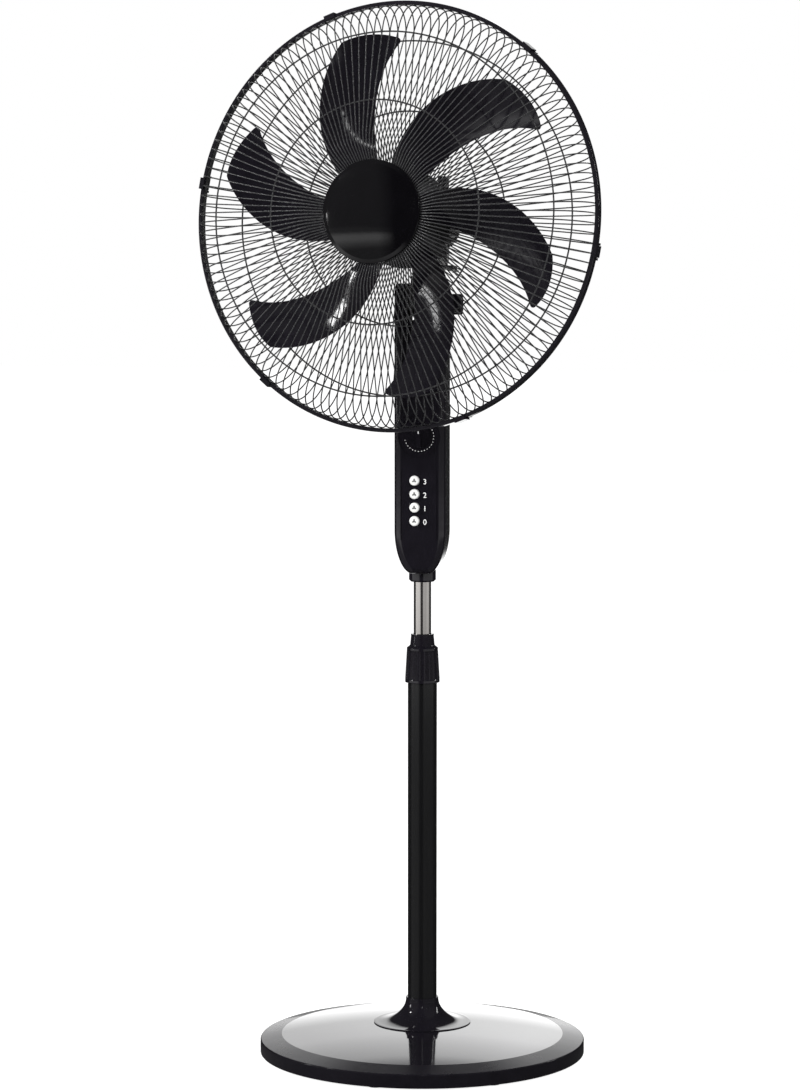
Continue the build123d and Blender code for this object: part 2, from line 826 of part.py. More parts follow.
# ---------------------------------------------------------------- tilt joint
column_middle = (column_back - column_front) / 2
column_depth = column_front + column_back
with BuildPart() as neck_fork:
    with BuildSketch(Plane.XY.offset(column_top)):
        with Locations((0, column_middle)):
            RectangleRounded(column_width, column_depth, column_edge_radius)
    extrude(amount=pivot_rise + fork_ear_radius)
    with BuildSketch(Plane.YZ):
        with Locations((0, pivot_height)):
            Circle(fork_ear_radius)
        with Locations((column_middle, column_top + fit_gap)):
            Rectangle(column_depth, 2 * fit_gap)
        make_hull()
    extrude(amount=column_width, both=True, mode=Mode.INTERSECT)
    with BuildSketch(Plane.XY.offset(fork_base)):
        Rectangle(2 * fork_inner, 2 * column_depth)
    extrude(amount=pivot_height, mode=Mode.SUBTRACT)
    with BuildSketch(Plane.XY.offset(column_top)):
        Rectangle(2 * fork_plug_half_width, 2 * fork_plug_half_depth)
    extrude(amount=-fork_plug_depth)
    with BuildSketch(Plane.YZ):
        with Locations((0, pivot_height)):
            Circle(tilt_bolt_radius + fit_gap)
    extrude(amount=column_width, both=True, mode=Mode.SUBTRACT)
    with BuildSketch(Plane.YZ.offset(-fork_half_width)):
        with Locations((0, pivot_height)):
            Circle(tilt_bolt_head_radius + free_gap)
    extrude(amount=tilt_bolt_pocket, mode=Mode.SUBTRACT)
save("neck_fork", neck_fork.part)

knob_start = fork_half_width + free_gap
knob_end = knob_start + tilt_knob_neck_length + tilt_knob_length
bolt_head_seat = tilt_bolt_pocket - fork_half_width
with BuildPart() as tilt_bolt:
    with BuildSketch(Plane.YZ.offset(bolt_head_seat)):
        with Locations((0, pivot_height)):
            Circle(tilt_bolt_radius)
    extrude(amount=knob_end - tilt_bolt_end - bolt_head_seat)
    with BuildSketch(Plane.YZ.offset(bolt_head_seat)):
        with Locations((0, pivot_height)):
            RegularPolygon(tilt_bolt_head_radius, 6)
    extrude(amount=-tilt_bolt_head_height)
save("tilt_bolt", tilt_bolt.part)

with BuildPart() as tilt_knob:
    with BuildSketch(Plane.YZ.offset(knob_start)):
        with Locations((0, pivot_height)):
            Circle(tilt_knob_neck_radius)
    extrude(amount=tilt_knob_neck_length)
    with BuildSketch(Plane.YZ.offset(knob_start + tilt_knob_neck_length)):
        with Locations((0, pivot_height)):
            Circle(tilt_knob_radius)
            with PolarLocations(tilt_knob_radius + tilt_knob_lobe_offset, tilt_knob_lobes):
                Circle(tilt_knob_lobe_radius, mode=Mode.SUBTRACT)
    extrude(amount=tilt_knob_length)
    fillet(tilt_knob.faces().sort_by(Axis.X)[-1].edges(), tilt_knob_edge)
    with BuildSketch(Plane.YZ.offset(knob_start)):
        with Locations((0, pivot_height)):
            Circle(tilt_bolt_radius + running_gap)
    extrude(amount=knob_end - knob_start - tilt_bolt_end + free_gap, mode=Mode.SUBTRACT)
save("tilt_knob", tilt_knob.part)

neck_side = Plane(pivot_point, x_dir=neck.y_dir, z_dir=(1, 0, 0))
tongue_half_width = fork_inner - free_gap
link_level = barrel_top - link_drop
with BuildPart() as tilt_bracket:
    with BuildSketch(neck_side):
        Circle(barrel_radius)
        with Locations((0, barrel_bottom / 2)):
            Rectangle(2 * barrel_radius, barrel_bottom)
    extrude(amount=tongue_half_width, both=True)
    with BuildSketch(neck.offset(barrel_bottom)):
        Circle(barrel_radius)
    extrude(amount=barrel_shoulder - barrel_bottom)
    with BuildSketch(neck.offset(barrel_shoulder)):
        Circle(barrel_neck_radius)
    extrude(amount=barrel_top - barrel_shoulder)
    with BuildSketch(neck.offset(barrel_shoulder)):
        with Locations((link_post_offset / 2, 0)):
            Rectangle(link_post_offset, 2 * link_post_radius)
        with Locations((link_post_offset, 0)):
            Circle(link_post_radius)
    extrude(amount=link_level - link_side_gap - barrel_shoulder)
    with BuildSketch(neck.offset(barrel_shoulder)):
        with Locations((link_post_offset, 0)):
            Circle(crank_pin_radius)
    extrude(amount=link_level + link_thickness + link_post_end - barrel_shoulder)
    with BuildSketch(neck.offset(barrel_bottom + pin_bore_floor)):
        Circle(pivot_pin_radius + running_gap)
    extrude(amount=head_rise, mode=Mode.SUBTRACT)
    with BuildSketch(neck_side):
        Circle(tilt_bolt_radius + running_gap)
    extrude(amount=fork_inner, both=True, mode=Mode.SUBTRACT)
save("tilt_bracket", tilt_bracket.part)

# ---------------------------------------------------------------- oscillation drive
saddle_bottom = saddle_top - saddle_thickness
gearbox_front = motor_back
wheel_place = at_depth(wheel_x, wheel_depth)
pivot_place = at_depth(axis_offset, -rim_forward)
pin_bottom = barrel_bottom + pin_bore_floor + pin_end_gap - head_rise
gearbox_middle = at_depth((gearbox_left + gearbox_right) / 2, (gearbox_front + gearbox_back) / 2)
gearbox_size = (gearbox_right - gearbox_left, gearbox_front - gearbox_back)
with BuildPart() as gearbox_housing:
    with BuildSketch(level(-gearbox_half_height)):
        with Locations(gearbox_middle):
            RectangleRounded(*gearbox_size, gearbox_corner)
    extrude(amount=2 * gearbox_half_height)
    with BuildSketch(level(saddle_bottom)):
        with Locations(at_depth(0, (saddle_front + gearbox_back) / 2)):
            RectangleRounded(2 * saddle_half_width, saddle_front - gearbox_back, saddle_corner)
    extrude(amount=saddle_thickness)
    with BuildSketch(level(pin_bottom)):
        with Locations(pivot_place):
            Circle(pivot_pin_radius)
    extrude(amount=saddle_top - pin_bottom)
    with BuildSketch(level(saddle_top)):
        with Locations(at_depth((gearbox_left + saddle_half_width) / 2, gearbox_back + gearbox_corner)):
            Rectangle(saddle_half_width - gearbox_left, gearbox_web)
    extrude(amount=-gearbox_half_height - saddle_top)
    with BuildSketch(level(gearbox_wall - gearbox_half_height)):
        with Locations(gearbox_middle):
            RectangleRounded(gearbox_size[0] - 2 * gearbox_wall, gearbox_size[1] - 2 * gearbox_wall,
                             gearbox_corner - gearbox_wall)
    extrude(amount=2 * gearbox_half_height, mode=Mode.SUBTRACT)
    with BuildSketch(level(-gearbox_half_height - cut_margin)):
        with Locations(wheel_place):
            Circle(clutch_shaft_radius + free_gap)
    extrude(amount=gearbox_half_height, mode=Mode.SUBTRACT)
    with BuildSketch(level(saddle_bottom)):
        with Locations(wheel_place):
            Circle(shaft_radius + running_gap)
    extrude(amount=saddle_thickness, mode=Mode.SUBTRACT)
    with BuildSketch(head.offset(gearbox_front)):
        Circle(shaft_radius + free_gap)
    extrude(amount=-gearbox_wall, mode=Mode.SUBTRACT)
save("gearbox_housing", gearbox_housing.part)

with BuildPart() as worm_wheel:
    with BuildSketch(level(-wheel_thickness / 2)):
        with Locations(wheel_place):
            Circle(wheel_radius)
            Circle(clutch_shaft_radius + running_gap, mode=Mode.SUBTRACT)
            with PolarLocations(wheel_radius + wheel_tooth_offset, wheel_teeth):
                Circle(wheel_tooth_gap, mode=Mode.SUBTRACT)
    extrude(amount=wheel_thickness)
save("worm_wheel", worm_wheel.part)

with BuildPart() as clutch_shaft:
    with BuildSketch(level(-gearbox_half_height - clutch_shaft_foot)):
        with Locations(wheel_place):
            Circle(clutch_shaft_radius)
    extrude(amount=tower_top + gearbox_half_height + clutch_shaft_foot + clutch_shaft_head)
save("clutch_shaft", clutch_shaft.part)

with BuildPart() as oscillation_knob:
    with BuildSketch(level(tower_top + free_gap)):
        with Locations(wheel_place):
            Circle(knob_radius)
    extrude(amount=knob_top - tower_top - free_gap)
    fillet(oscillation_knob.edges().filter_by(GeomType.CIRCLE), knob_edge)
    with BuildSketch(level(tower_top)):
        with Locations(wheel_place):
            Circle(clutch_shaft_radius + fit_gap)
    extrude(amount=clutch_shaft_head + fit_gap, mode=Mode.SUBTRACT)
save("oscillation_knob", oscillation_knob.part)

# The link joins the crank pin to the post on the tilt bracket. With the head turned by
# yaw_angle the crank stands where the link, at its length for the straight-ahead pose, fits.
crank_centre = Vector(wheel_x, -wheel_depth)
pivot_centre = Vector(axis_offset, rim_forward)
post_straight = pivot_centre + Vector(link_post_offset, 0)
post_now = pivot_centre + Vector(link_post_offset * cos(yaw), link_post_offset * sin(yaw))
link_length = (crank_centre + Vector(crank_throw, 0) - post_straight).length
reach = (post_now - crank_centre).length
along = (crank_throw ** 2 - link_length ** 2 + reach ** 2) / (2 * reach)
aside = (crank_throw ** 2 - along ** 2) ** 0.5
toward_post = (post_now - crank_centre).normalized()
crank_pin_place = crank_centre + toward_post * along + Vector(-toward_post.Y, toward_post.X) * aside
link_bottom = link_level - head_rise
crank_disc_bottom = saddle_bottom - free_gap - crank_disc_thickness

with BuildPart() as crank_gear:
    with BuildSketch(level(crank_disc_bottom)):
        with Locations((crank_centre.X, crank_centre.Y)):
            Circle(crank_disc_radius)
            with PolarLocations(crank_disc_radius + crank_tooth_offset, crank_teeth):
                Circle(crank_tooth_gap, mode=Mode.SUBTRACT)
    extrude(amount=crank_disc_thickness)
    with BuildSketch(level(crank_disc_bottom + crank_disc_thickness)):
        with Locations((crank_centre.X, crank_centre.Y)):
            Circle(shaft_radius)
    extrude(amount=saddle_top - crank_disc_bottom - crank_disc_thickness)
    with BuildSketch(level(crank_disc_bottom)):
        with Locations((crank_pin_place.X, crank_pin_place.Y)):
            Circle(crank_pin_radius)
    extrude(amount=link_bottom - link_side_gap - crank_disc_bottom)
save("crank_gear", crank_gear.part)

with BuildPart() as link_arm:
    with BuildSketch(level(link_bottom)):
        with BuildLine():
            Line((crank_pin_place.X, crank_pin_place.Y), (post_now.X, post_now.Y))
        trace(line_width=link_width)
        with Locations((crank_pin_place.X, crank_pin_place.Y)):
            Circle(link_eye_radius)
        with Locations((post_now.X, post_now.Y)):
            Circle(link_open_eye_radius)
            Circle(link_open_radius, mode=Mode.SUBTRACT)
        with Locations((crank_pin_place.X, crank_pin_place.Y)):
            Circle(crank_pin_radius + running_gap, mode=Mode.SUBTRACT)
    extrude(amount=link_thickness)
save("link_arm", link_arm.part)

# ---------------------------------------------------------------- motor
bearing_seat = bearing_radius + fit_gap
shaft_bore = shaft_radius + running_gap
bell_inner = bell_radius - bell_wall
bell_tail_radius = bell_radius - bell_taper
bell_nose = motor_front + bell_nose_length
bell_side_end = bell_seam - bell_side_length
with BuildPart() as motor_front_bell:
    add(turned_piece([
        (bearing_seat, bell_nose), (bell_boss_radius, bell_nose),
        (bell_boss_radius, motor_front), (bell_radius, motor_front), (bell_radius, bell_seam),
        (bell_inner, bell_seam), (bell_inner, motor_front - bell_wall),
        (bearing_seat, motor_front - bell_wall),
    ]))
save("motor_front_bell", motor_front_bell.part)

with BuildPart() as motor_rear_bell:
    add(turned_piece([
        (bell_inner, bell_seam), (bell_radius, bell_seam), (bell_radius, bell_side_end),
        (bell_tail_radius, motor_back), (bearing_seat, motor_back),
        (bearing_seat, motor_back + rear_bearing_seat),
        (bearing_seat + rear_bearing_step, motor_back + rear_bearing_seat),
        (bearing_seat + rear_bearing_step, motor_back + bell_wall),
        (bell_tail_radius - bell_wall, motor_back + bell_wall), (bell_inner, bell_side_end),
    ]))
save("motor_rear_bell", motor_rear_bell.part)

with BuildPart() as bearings:
    with BuildSketch(head.offset(bell_nose - free_gap)):
        Circle(bearing_radius)
        Circle(shaft_bore, mode=Mode.SUBTRACT)
    extrude(amount=-front_bearing_length)
    with BuildSketch(head.offset(motor_back + rear_bearing_seat)):
        Circle(bearing_radius)
        Circle(shaft_bore, mode=Mode.SUBTRACT)
    extrude(amount=-rear_bearing_length)
save("bearings", bearings.part)

with BuildPart() as stator_core:
    add(turned_piece([
        (rotor_radius + air_gap, core_back), (bell_inner - fit_gap, core_back),
        (bell_inner - fit_gap, core_front), (rotor_radius + air_gap, core_front),
    ]))

with BuildPart() as stator_windings:
    for face, way in ((core_front, 1), (core_back, -1)):
        with BuildSketch(head.offset(face)):
            Circle(winding_outer_radius)
            Circle(winding_inner_radius, mode=Mode.SUBTRACT)
        extrude(amount=way * winding_length)
save("stator", Compound(children=[stator_core.part, stator_windings.part]))

with BuildPart() as rotor_core:
    add(turned_piece([
        (shaft_radius, core_back), (rotor_radius, core_back),
        (rotor_radius, core_front), (shaft_radius, core_front),
    ]))
save("rotor_core", rotor_core.part)

drive_pin_depth = hub_back - drive_pin_radius
with BuildPart() as motor_shaft:
    with BuildSketch(head.offset(shaft_back)):
        Circle(shaft_radius)
    extrude(amount=shaft_front - shaft_back)
    with BuildSketch(head.offset(wheel_depth - worm_length / 2)):
        Circle(worm_radius)
    extrude(amount=worm_length)
    with BuildSketch(turned):
        with Locations((0, drive_pin_depth)):
            Circle(drive_pin_radius)
    extrude(amount=shaft_radius + 1, both=True, mode=Mode.SUBTRACT)
save("motor_shaft", motor_shaft.part)

with BuildPart() as drive_pin:
    with BuildSketch(turned):
        with Locations((0, drive_pin_depth)):
            Circle(drive_pin_radius)
    extrude(amount=hub_boss_radius - 1, both=True)
save("drive_pin", drive_pin.part)

with BuildPart() as motor_front_cover:
    add(turned_piece([
        (boss_bore_radius, boss_front), (boss_radius, boss_front), (boss_radius, cover_face_depth),
        (cover_radius, cover_face_depth), (cover_radius, motor_front),
        (cover_radius - cover_wall, motor_front), (cover_radius - cover_wall, cover_face_depth - cover_wall),
        (boss_bore_radius, cover_face_depth - cover_wall),
    ]))
save("motor_front_cover", motor_front_cover.part)

cover_back = gearbox_back - cover_tail_gap
with BuildPart() as motor_rear_cover:
    with BuildSketch(turned):
        with BuildLine():
            FilletPolyline(
                (cover_radius, motor_front), (cover_waist_radius, cover_waist_depth),
                (cover_tail_radius, cover_back), (0, cover_back), radius=cover_bend,
            )
            Line((0, cover_back), (0, cover_back + cover_wall))
            FilletPolyline(
                (0, cover_back + cover_wall), (cover_tail_radius - cover_wall, cover_back + cover_wall),
                (cover_waist_radius - cover_wall, cover_waist_depth),
                (cover_radius - cover_wall, motor_front),
                radius=cover_bend - cover_wall,
            )
            Line((cover_radius - cover_wall, motor_front), (cover_radius, motor_front))
        make_face()
    revolve(axis=head_axis)
    with BuildSketch(level(gearbox_half_height)):
        with Locations(wheel_place):
            Circle(tower_radius)
    extrude(amount=tower_top - gearbox_half_height)
    with BuildSketch(level(gearbox_half_height)):
        with Locations(wheel_place):
            Circle(tower_radius - cover_wall)
    extrude(amount=tower_top, mode=Mode.SUBTRACT)
    with BuildSketch(level(saddle_bottom - cut_margin)):
        with Locations(at_depth(0, (saddle_front + gearbox_back) / 2)):
            Rectangle(2 * (saddle_half_width + saddle_opening),
                      saddle_front - gearbox_back + 4 * saddle_opening)
    extrude(amount=-gearbox_half_height - saddle_bottom, mode=Mode.SUBTRACT)
save("motor_rear_cover", motor_rear_cover.part)

# ---------------------------------------------------------------- blade
blade_span = blade_tip_radius - hub_radius


def span_radius(share):
    """Radius at a share of the blade's span, from the hub to the tip."""
    return hub_radius + share * blade_span


def edge_angle(angles, radius):
    """Angle of an edge of the blade at a radius, degrees."""
    share = (radius - hub_radius) / blade_span
    return angles[0] + angles[1] * share + angles[2] * share ** 2


def lead_angle(radius):
    """Angle of the swept-out front edge."""
    return edge_angle(lead_edge_angles, radius)


def trail_angle(radius):
    """Angle of the hollow rear edge."""
    return edge_angle(trail_edge_angles, radius)


def edge_point(radius, angle, depth):
    """A point of the blade from its radius, angle and depth."""
    return head.from_local_coords(Vector(radius * cos(radians(angle)), radius * sin(radians(angle)), depth))


def plan_point(radius, angle):
    """The same point seen along the axis."""
    return (radius * cos(radians(angle)), radius * sin(radians(angle)))


def blade_section(radius):
    """One section of the blade: its plane and its chord."""
    share = (radius - hub_radius) / blade_span
    lead = edge_point(radius, lead_angle(radius), blade_lead_depth)
    trail = edge_point(radius, trail_angle(radius), blade_root_trail_depth
                       + share * (blade_tip_trail_depth - blade_root_trail_depth))
    middle_angle = (lead_angle(radius) + trail_angle(radius)) / 2
    outward = edge_point(1, middle_angle, 0) - head_point
    plane = Plane((lead + trail) * 0.5, x_dir=lead - trail, z_dir=outward)
    return plane, (lead - trail).length + 2 * blade_overhang


with BuildPart() as blade_sheet:
    for section_share in blade_sections:
        section_plane, chord = blade_section(span_radius(section_share))
        belly = -blade_camber * chord
        half = blade_thickness / 2
        with BuildSketch(section_plane):
            with BuildLine():
                ThreePointArc((-chord / 2, 0), (0, belly + half), (chord / 2, 0))
                ThreePointArc((chord / 2, 0), (0, belly - half), (-chord / 2, 0))
            make_face()
    loft()

root_radius = hub_radius - hub_wall / 2
lead_radii = [root_radius] + [span_radius(share) for share in lead_edge_places]
trail_radii = [span_radius(share) for share in trail_edge_places] + [root_radius]
lead_root = plan_point(root_radius, lead_angle(root_radius))
trail_root = plan_point(root_radius, trail_angle(root_radius))
lead_tip = plan_point(blade_tip_radius - blade_tip_lead_inset, lead_angle(blade_tip_radius))
tip_middle = plan_point(blade_tip_radius + blade_tip_crown, blade_tip_middle_angle)
trail_tip = plan_point(blade_tip_radius - blade_tip_trail_inset, trail_angle(blade_tip_radius))
with BuildPart() as blade:
    with BuildSketch(head.offset(hub_back - blade_lead_depth)) as blade_outline:
        with BuildLine():
            Spline(*[plan_point(r, lead_angle(r)) for r in lead_radii], lead_tip)
            ThreePointArc(lead_tip, tip_middle, trail_tip)
            Spline(trail_tip, *[plan_point(r, trail_angle(r)) for r in trail_radii])
            Line(trail_root, lead_root)
        make_face()
        fillet([blade_outline.vertices().sort_by_distance(lead_tip)[0]], blade_tip_lead_round)
        fillet([blade_outline.vertices().sort_by_distance(trail_tip)[0]], blade_tip_trail_round)
    extrude(amount=4 * blade_lead_depth)
    add(blade_sheet.part, mode=Mode.INTERSECT)

with BuildPart() as fan_blade:
    add(turned_piece([
        (shaft_radius, hub_back), (hub_boss_radius, hub_back), (hub_boss_radius, hub_front - hub_wall),
        (hub_radius - hub_wall, hub_front - hub_wall), (hub_radius - hub_wall, hub_back + hub_skirt),
        (hub_radius, hub_back + hub_skirt), (hub_radius, hub_front - hub_edge),
        (hub_radius - hub_edge, hub_front),
        (shaft_radius, hub_front),
    ]))
    for turn in range(blade_count):
        add(blade.part.rotate(head_axis, blade_first_angle + turn * 360 / blade_count))
save("fan_blade", fan_blade.part)

spinner_front = hub_front + spinner_length
with BuildPart() as blade_spinner:
    add(turned_piece([
        (shaft_radius, hub_front), (spinner_radius, hub_front),
        (spinner_radius, spinner_front - spinner_edge_length),
        (spinner_radius - spinner_edge_radius, spinner_front),
        (0, spinner_front), (0, shaft_front), (shaft_radius, shaft_front),
    ]))
save("blade_spinner", blade_spinner.part)

# ---------------------------------------------------------------- guards
edge_ring_radius = rim_radius - rim_wall - fit_gap - edge_ring_wire
wire_end_radius = edge_ring_radius - edge_ring_wire - guard_wire + weld


def wire_ring(radius, depth, wire):
    """A ring of round wire round the axis of the head."""
    with BuildPart() as body:
        with BuildSketch(turned):
            with Locations((radius, depth)):
                Circle(wire)
        revolve(axis=head_axis)
    return body.part


def wire_along(line):
    """A guard wire along a line of the turned plane. Its many-sided section keeps the bends light."""
    with BuildPart() as body:
        with BuildSketch(Plane(origin=line @ 0, x_dir=turned.z_dir, z_dir=line % 0)):
            RegularPolygon(guard_wire, wire_sides)
        sweep(path=line)
    return body.part


def around(part, count):
    """Copies of a part, evenly round the axis of the head."""
    return [part.rotate(head_axis, n * 360 / count) for n in range(count)]


slope = radians(crest_slope)
crest_depth = shoulder_depth + (shoulder_radius - crest_radius) * tan(slope)
hub_ring_centre = Vector(hub_ring_radius, hub_ring_depth)
wire_start = hub_ring_centre + (Vector(crest_radius, crest_depth) - hub_ring_centre).normalized() * (
    hub_ring_wire - weld)
ring_drop = guard_wire + ring_wire - weld
with BuildLine(turned) as front_run:
    FilletPolyline((wire_start.X, wire_start.Y), (crest_radius, crest_depth),
                   (shoulder_radius, shoulder_depth), radius=crest_bend)
front_bend = (wire_end_radius - shoulder_radius) / (1 - sin(slope))
with BuildLine(turned) as front_shoulder:
    JernArc((shoulder_radius, shoulder_depth), (cos(slope), -sin(slope)), front_bend, crest_slope - 90)
    Line((wire_end_radius, shoulder_depth - front_bend * cos(slope)), (wire_end_radius, wire_end_depth))
front_wires = around(wire_along(front_run.wire()), wire_count)
front_shoulders = around(wire_along(front_shoulder.wire()), wire_count)
front_rings = [wire_ring(edge_ring_radius, edge_ring_depth, edge_ring_wire),
               wire_ring(hub_ring_radius, hub_ring_depth, hub_ring_wire)]
for ring_radius in front_ring_radii:
    line_depth = shoulder_depth + (shoulder_radius - ring_radius) * tan(slope)
    front_rings.append(wire_ring(ring_radius - ring_drop * sin(slope),
                                 line_depth - ring_drop * cos(slope), ring_wire))
save("front_guard", Compound(children=front_wires + front_shoulders))
save("front_guard_rings", Compound(children=front_rings))

rear_bend_start = wire_end_radius - rear_bend
with BuildLine(turned) as rear_run:
    Line((rear_wire_start, rear_depth), (rear_bend_start, rear_depth))
with BuildLine(turned) as rear_shoulder:
    JernArc((rear_bend_start, rear_depth), (1, 0), rear_bend, 90)
    Line((wire_end_radius, rear_depth + rear_bend), (wire_end_radius, -wire_end_depth))
rear_wires = around(wire_along(rear_run.wire()), wire_count)
rear_shoulders = around(wire_along(rear_shoulder.wire()), wire_count)
rear_rings = [wire_ring(edge_ring_radius, -edge_ring_depth, edge_ring_wire)]
rear_rings += [wire_ring(ring_radius, rear_depth + ring_drop, ring_wire) for ring_radius in rear_ring_radii]
plate_front = rear_depth - guard_wire + weld
with BuildPart() as rear_plate:
    with BuildSketch(head.offset(plate_front)):
        Circle(rear_plate_radius)
        Circle(boss_radius + free_gap, mode=Mode.SUBTRACT)
    extrude(amount=-rear_plate_thickness)
save("rear_guard", Compound(children=[rear_plate.part] + rear_wires + rear_shoulders))
save("rear_guard_rings", Compound(children=rear_rings))

with BuildPart() as guard_nut:
    add(turned_piece([
        (boss_radius + fit_gap, plate_front), (guard_nut_radius, plate_front),
        (guard_nut_radius, plate_front + guard_nut_length - guard_nut_edge),
        (guard_nut_radius - guard_nut_edge, plate_front + guard_nut_length),
        (boss_radius + fit_gap, plate_front + guard_nut_length),
    ]))
    with BuildSketch(head.offset(plate_front)):
        with PolarLocations(guard_nut_radius + guard_nut_notch_offset, guard_nut_notches):
            Circle(guard_nut_notch_radius)
    extrude(amount=guard_nut_length, mode=Mode.SUBTRACT)
save("guard_nut", guard_nut.part)

# ---------------------------------------------------------------- rim and its clips
channel_inside = edge_ring_depth + edge_ring_wire + fit_gap
channel_outside = channel_inside + rim_wall
lip_radius = wire_end_radius + guard_wire + free_gap
clip_inner = rim_radius + free_gap
clip_outer = clip_inner + clip_thickness
clip_barrel = clip_pin_radius + clip_barrel_wall
clip_hinge_radius = rim_radius - clip_hinge_inset
clip_hinge_depth = -channel_outside - clip_barrel - free_gap
lug_start = clip_width / 2 + free_gap
clip_angles = [clip_first_angle + n * 360 / clip_count for n in range(clip_count)]

with BuildPart() as clip_lugs:
    for side in (-1, 1):
        with BuildSketch(turned.offset(side * lug_start)):
            Polygon(
                (clip_hinge_radius - clip_lug_half_width, -channel_inside),
                (clip_hinge_radius + clip_lug_half_width, -channel_inside),
                (clip_hinge_radius + clip_lug_half_width, clip_hinge_depth - clip_barrel),
                (clip_hinge_radius - clip_lug_half_width, clip_hinge_depth - clip_barrel), align=None,
            )
            with Locations((clip_hinge_radius, clip_hinge_depth)):
                Circle(clip_pin_radius + running_gap, mode=Mode.SUBTRACT)
        extrude(amount=side * clip_lug)

with BuildPart() as guard_rim:
    add(turned_piece([
        (lip_radius, -channel_outside), (rim_radius, -channel_outside), (rim_radius, channel_outside),
        (lip_radius, channel_outside), (lip_radius, channel_inside),
        (rim_radius - rim_wall, channel_inside), (rim_radius - rim_wall, -channel_inside),
        (lip_radius, -channel_inside),
    ]))
    for clip_angle in clip_angles:
        add(clip_lugs.part.rotate(head_axis, clip_angle))
save("guard_rim", guard_rim.part)

hook_depth = channel_outside + 2 * free_gap
hook_tip = lip_radius + clip_hook_overlap
with BuildPart() as rim_clip:
    with BuildSketch(turned):
        Polygon(
            (clip_hinge_radius, clip_hinge_depth - clip_thickness / 2),
            (clip_outer, clip_hinge_depth - clip_thickness / 2), (clip_outer, hook_depth + clip_thickness),
            (hook_tip, hook_depth + clip_thickness), (hook_tip, hook_depth), (clip_inner, hook_depth),
            (clip_inner, clip_hinge_depth + clip_thickness / 2),
            (clip_hinge_radius, clip_hinge_depth + clip_thickness / 2), align=None,
        )
        with Locations((clip_hinge_radius, clip_hinge_depth)):
            Circle(clip_barrel)
    extrude(amount=clip_width / 2, both=True)
    with BuildSketch(turned):
        with Locations((clip_hinge_radius, clip_hinge_depth)):
            Circle(clip_pin_radius)
    extrude(amount=lug_start + clip_lug, both=True)
for number, clip_angle in enumerate(clip_angles, start=1):
    save(f"rim_clip_{number}", rim_clip.part.rotate(head_axis, clip_angle))

# ---------------------------------------------------------------- centre cap
rib_outer = hub_ring_radius - hub_ring_wire - fit_gap
rib_back = hub_ring_depth - hub_ring_wire
rib_inner = rib_outer - cap_wall
cap_shoulder = cap_front - cap_rise
with BuildPart() as centre_cap:
    with BuildSketch(turned):
        with BuildLine():
            TangentArc((0, cap_front), (cap_radius - cap_bevel, cap_shoulder), tangent=(1, 0))
            Polyline(
                (cap_radius - cap_bevel, cap_shoulder),
                (cap_radius, cap_edge_depth + cap_edge_thickness),
                (cap_radius, cap_edge_depth), (rib_outer, cap_edge_depth),
                (rib_outer, rib_back), (rib_inner, rib_back),
                (rib_inner, cap_shoulder - cap_wall),
            )
            TangentArc((0, cap_front - cap_wall), (rib_inner, cap_shoulder - cap_wall),
                       tangent=(1, 0))
            Line((0, cap_front - cap_wall), (0, cap_front))
        make_face()
    revolve(axis=head_axis)
    with BuildSketch(head.offset(rib_back)):
        with PolarLocations(cap_post_ring, cap_post_count):
            Circle(cap_post_radius)
    extrude(amount=cap_post_height)
save("centre_cap", centre_cap.part)

with BuildPart() as cap_plate:
    with BuildSketch(head.offset(rib_back)):
        Circle(hub_ring_radius + hub_ring_wire)
    extrude(amount=-cap_plate_thickness)
save("cap_plate", cap_plate.part)
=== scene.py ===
"""Finish of a pedestal fan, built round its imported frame.

Metres, +Z up, front towards -Y. Pieces of the head are drawn in the head's own axes, x to the
right, y up and z out through the front grille, and HEAD carries them to their place.
"""

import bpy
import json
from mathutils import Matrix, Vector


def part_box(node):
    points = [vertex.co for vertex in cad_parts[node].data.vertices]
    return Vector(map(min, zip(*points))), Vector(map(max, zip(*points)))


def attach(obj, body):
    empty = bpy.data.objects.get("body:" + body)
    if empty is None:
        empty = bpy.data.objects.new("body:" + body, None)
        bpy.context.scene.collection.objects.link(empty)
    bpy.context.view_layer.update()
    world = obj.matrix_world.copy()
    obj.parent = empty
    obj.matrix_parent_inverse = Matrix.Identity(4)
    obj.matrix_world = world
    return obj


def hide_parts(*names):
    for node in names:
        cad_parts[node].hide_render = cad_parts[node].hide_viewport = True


bl_info = {
    "name": "Pedestal Fan Finish",
    "version": (1, 0, 0),
    "blender": (4, 5, 0),
    "location": "View3D > Sidebar > Fan",
    "description": "Builds the visible pieces and materials of a pedestal fan on its frame",
    "category": "Object",
}

import json  # noqa: E402
from math import acos, atan2, cos, pi, radians, sin, tan  # noqa: E402

import bmesh  # noqa: E402
import bpy  # noqa: E402
from bpy.props import (  # noqa: E402
    FloatProperty, FloatVectorProperty, IntProperty, PointerProperty)
from mathutils import Matrix, Vector  # noqa: E402

# ------------------------------------------------------------------ the frame
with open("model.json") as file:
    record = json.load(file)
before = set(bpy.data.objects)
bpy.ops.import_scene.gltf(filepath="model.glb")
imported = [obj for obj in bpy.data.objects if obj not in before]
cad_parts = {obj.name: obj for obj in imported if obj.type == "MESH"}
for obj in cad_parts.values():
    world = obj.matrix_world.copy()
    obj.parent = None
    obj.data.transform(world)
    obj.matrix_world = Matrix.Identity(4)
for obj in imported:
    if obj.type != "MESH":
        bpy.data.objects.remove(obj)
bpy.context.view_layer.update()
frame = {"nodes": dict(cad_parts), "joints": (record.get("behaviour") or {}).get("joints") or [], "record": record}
NODES = frame["nodes"]
JOINTS = {joint["name"]: joint for joint in frame["joints"]}
SLOTS = {row["node"]: row["material_slot"] for row in frame["record"]["subparts"]}
MM = 0.001


def joint_place(name):
    """Where a joint is, at rest."""
    return Vector(JOINTS[name]["pos_m"])


